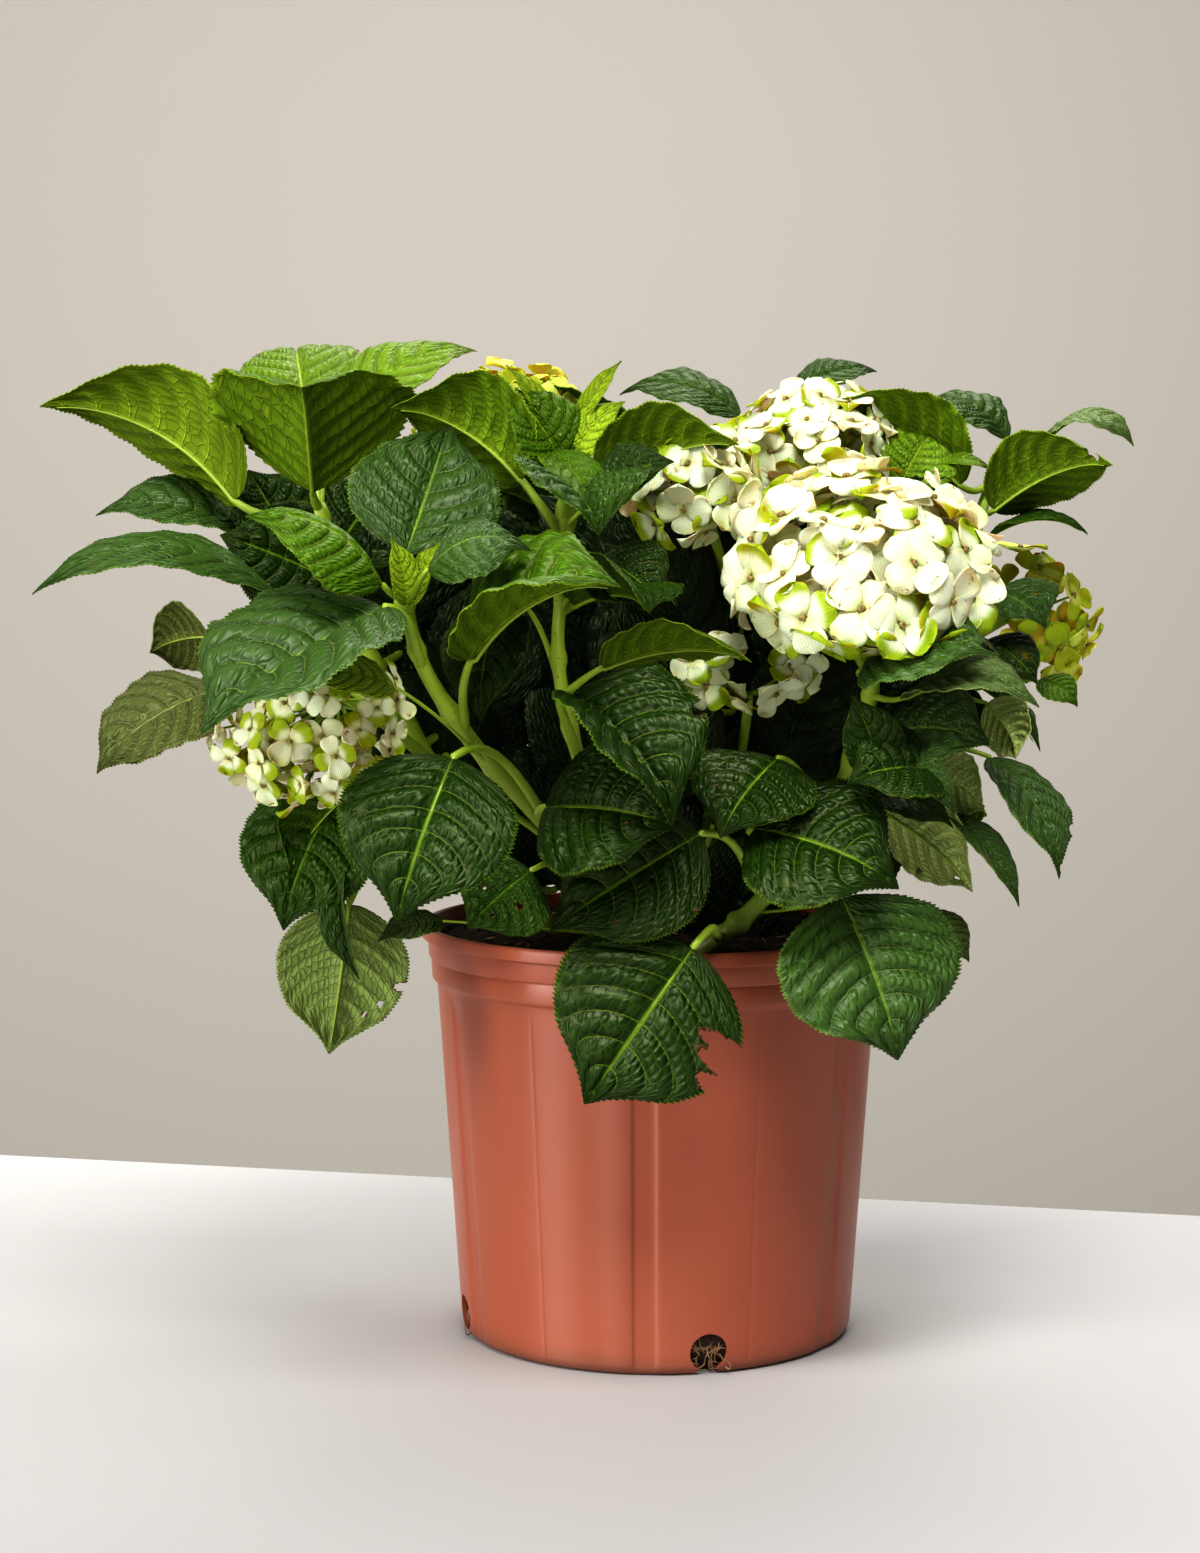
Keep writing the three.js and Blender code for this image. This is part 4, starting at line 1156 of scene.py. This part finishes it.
def makeSoil():
    dice = random.Random(5)
    profile = [(r, soilTop(r)) for r in np.linspace(0, soilLook["radius"], 30)[1:]]
    profile += [(131.2 - 13 * (235 - z) / 215, z) for z in np.linspace(233, 20, 30)]
    profile = [(min(r, 127.6) if z < 206 else r, z) for r, z in profile]
    profile = [(min(r, 114.4 + 13 * (z - 20) / 187), z) for r, z in profile
               if z < 208 or r <= soilLook["radius"]]
    profile += [(112.4, 9), (108, 4), (60, 3), (30, 3)]
    profile = np.array(profile)
    sides = soilLook["sides"]
    turns = np.linspace(0, 2 * math.pi, sides, endpoint=False)
    rough = np.array([[dice.uniform(-1, 1) for _ in turns] for _ in profile])
    soft = (rough + np.roll(rough, 1, 0) + np.roll(rough, 1, 1) + np.roll(rough, -1, 1)) / 2.2
    radius = profile[:, :1] - 0.5 * np.abs(soft) * (profile[:, 1:] < 232)
    height = profile[:, 1:] + soft * 1.3 * (profile[:, 1:] > 232)
    points = np.stack([radius * np.cos(turns), radius * np.sin(turns), height], axis=-1).reshape(-1, 3)
    rows = len(profile)
    faces = [face[:1] + face[:0:-1] for face in ringFaces(rows - 1, sides)]
    top, floor = len(points), len(points) + 1
    points = np.vstack([points, [[0, 0, soilLook["top"] + soilLook["mound"]], [0, 0, 3]]])
    for k in range(sides):
        faces.append((top, k, (k + 1) % sides))
        faces.append((floor, (rows - 1) * sides + (k + 1) % sides, (rows - 1) * sides + k))
    heap = Heap()
    heap.put(points * mm, faces, 0)
    for _ in range(soilLook["chips"]):
        # bark chips and fibres lying on the surface
        r, a = 130 * math.sqrt(dice.random()), dice.uniform(0, 6.28)
        z = soilTop(r) + dice.uniform(0, 1.2)
        spot = np.array([min(r, 127) * math.cos(a), min(r, 127) * math.sin(a), z])
        way = unit([dice.uniform(-1, 1), dice.uniform(-1, 1), dice.uniform(-0.3, 0.3)])
        size = dice.uniform(1.2, 4.5)
        line = np.array([spot - way * size, spot + way * size * 0.2, spot + way * size])
        radii = np.array([0.5, 1.0, 0.4]) * dice.uniform(0.5, 1.5)
        squash = dice.uniform(0.4, 1)
        heap.putBar(line, radii, 5, 1 if dice.random() < 0.2 else 0, squash)
    piece = heap.make("soil_mix", [soilFinish(), rootFinish()])
    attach(piece, "root")
    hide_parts("potting_soil")


def rootFinish():
    finish = Finish("rootTan", Roughness=0.8)
    spot = finish.objectSpot()
    cloud = finish.noise(300, 3, spot)
    finish.use("Base Color", finish.blend(cloud, (0.10, 0.055, 0.03), (0.42, 0.27, 0.15)))
    finish.use("Normal", finish.bump(finish.noise(900, 2, spot), 0.4, 0.0003))
    return finish.material


def makeRoots():
    dice = random.Random(8)
    heap = Heap()
    for angle in drainAngles:
        turn = math.radians(angle)
        ahead = np.array([math.cos(turn), math.sin(turn), 0])
        left = np.array([-math.sin(turn), math.cos(turn), 0])
        for _ in range(soilLook["roots"]):
            # fine roots that wander over the soil inside each drain hole
            spot = ahead * 113.2 + left * dice.uniform(-9, 9) + np.array([0, 0, dice.uniform(4, 23)])
            way = unit(left * dice.uniform(-1, 1) + np.array([0, 0, dice.uniform(-1, 1)]))
            line = [spot]
            for _ in range(6):
                sway, lift = dice.uniform(-1, 1), dice.uniform(-1, 1)
                way = unit(way + 0.5 * left * sway + np.array([0, 0, 0.5 * lift]))
                spot = spot + way * 2.2 + ahead * dice.uniform(-0.35, 0.45)
                spot[2] = max(spot[2], 3.2)
                line.append(spot)
            line = smoothLine(np.array(line), 2)
            heap.putBar(line, np.linspace(0.45, 0.2, len(line)) * dice.uniform(0.6, 1.3), 5)
        # one thicker root comes out of the hole and curls back
        loose = [ahead * out + left * over + np.array([0, 0, up]) for out, over, up in soilLook["loose"]]
        line = smoothLine(np.array(loose), 6)
        heap.putBar(line, np.linspace(0.6, 0.25, len(line)), 6)
    piece = heap.make("drain_roots", [rootFinish()])
    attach(piece, "root")


makeSoil()
makeRoots()
print("soil and roots made")


# table, wall, lights and camera

roomLook = dict(table=(0.493, 0.491, 0.488), wall=(0.50, 0.476, 0.437),
                tableCorners=[(-3.0, -3.0, 0), (3.0, -3.0, 0), (3.0, -0.264, 0), (-3.0, 0.985, 0)],
                wallCorners=[(-9, 4.5, -5), (9, 4.5, -5), (9, 4.5, 7), (-9, 4.5, 7)],
                air=(1.0, 0.98, 0.96, 1), airPower=0.20)
# place, the spot it faces, width, height, power and colour
lampPlaces = {
    "keyLeft": ((-7.4, -4.6, 3.5), (0, 0, 0.3), 2.9, 4.7, 448, (1.0, 0.975, 0.945)),
    "topFront": ((0.1, -2.0, 3.0), (0.05, 0, 0.4), 1.3, 1.3, 92, (1.0, 0.98, 0.96)),
    "topRear": ((0.3, 1.35, 2.3), (0.05, -0.05, 0.4), 1.8, 0.8, 26, (1.0, 0.99, 0.97)),
    "stripLow": ((-1.5, -3.18, 0.4), (0, 0, 0.15), 0.3, 1.3, 17, (1.0, 0.98, 0.96)),
    "wallWash": ((-0.2, 1.4, 1.5), (-0.1, 4.5, -1.7), 1.6, 1.6, 48, (1.0, 0.98, 0.95)),
}
cameraLook = dict(lens=72.6, film=36, place=(0, -1.85, 0.505), down=5.38, turn=1.04)


def plainFinish(name, color, roughness):
    finish = Finish(name, Roughness=roughness)
    spot = finish.objectSpot()
    cloud = finish.noise(3, 2, spot) * 0.3
    finish.use("Base Color", finish.blend(cloud, color, [c * 0.97 for c in color]))
    return finish.material


table = makePiece("table_top", roomLook["tableCorners"], [(0, 1, 2, 3)],
                  [plainFinish("tablePale", roomLook["table"], 0.6)])
wall = makePiece("back_wall", roomLook["wallCorners"], [(0, 1, 2, 3)],
                 [plainFinish("wallGrey", roomLook["wall"], 0.9)])


def areaLight(name, place, target, width, tall, power, color):
    data = bpy.data.lights.new(name, "AREA")
    data.shape = "RECTANGLE"
    data.size = width
    data.size_y = tall
    data.energy = power
    data.color = color
    lamp = bpy.data.objects.new(name, data)
    lamp.location = place
    way = np.array(target) - np.array(place)
    lamp.rotation_euler = (math.atan2(math.hypot(way[0], way[1]), -way[2]), 0,
                           math.atan2(way[1], way[0]) - math.pi / 2)
    bpy.context.scene.collection.objects.link(lamp)


for name, settings in lampPlaces.items():
    areaLight(name, *settings)

world = bpy.data.worlds.new("softRoom")
world.use_nodes = True
world.node_tree.nodes["Background"].inputs[0].default_value = roomLook["air"]
world.node_tree.nodes["Background"].inputs[1].default_value = roomLook["airPower"]
bpy.context.scene.world = world
bpy.context.scene.view_settings.view_transform = "Standard"
bpy.context.scene.view_settings.look = "High Contrast"

camera = bpy.data.objects.new("camera", bpy.data.cameras.new("camera"))
camera.data.lens = cameraLook["lens"]
camera.data.sensor_width = cameraLook["film"]
camera.data.sensor_fit = "VERTICAL"
camera.data.sensor_height = cameraLook["film"]
camera.location = cameraLook["place"]
camera.rotation_euler = (math.radians(90 - cameraLook["down"]), 0, math.radians(cameraLook["turn"]))
bpy.context.scene.collection.objects.link(camera)
bpy.context.scene.camera = camera
print("room made")
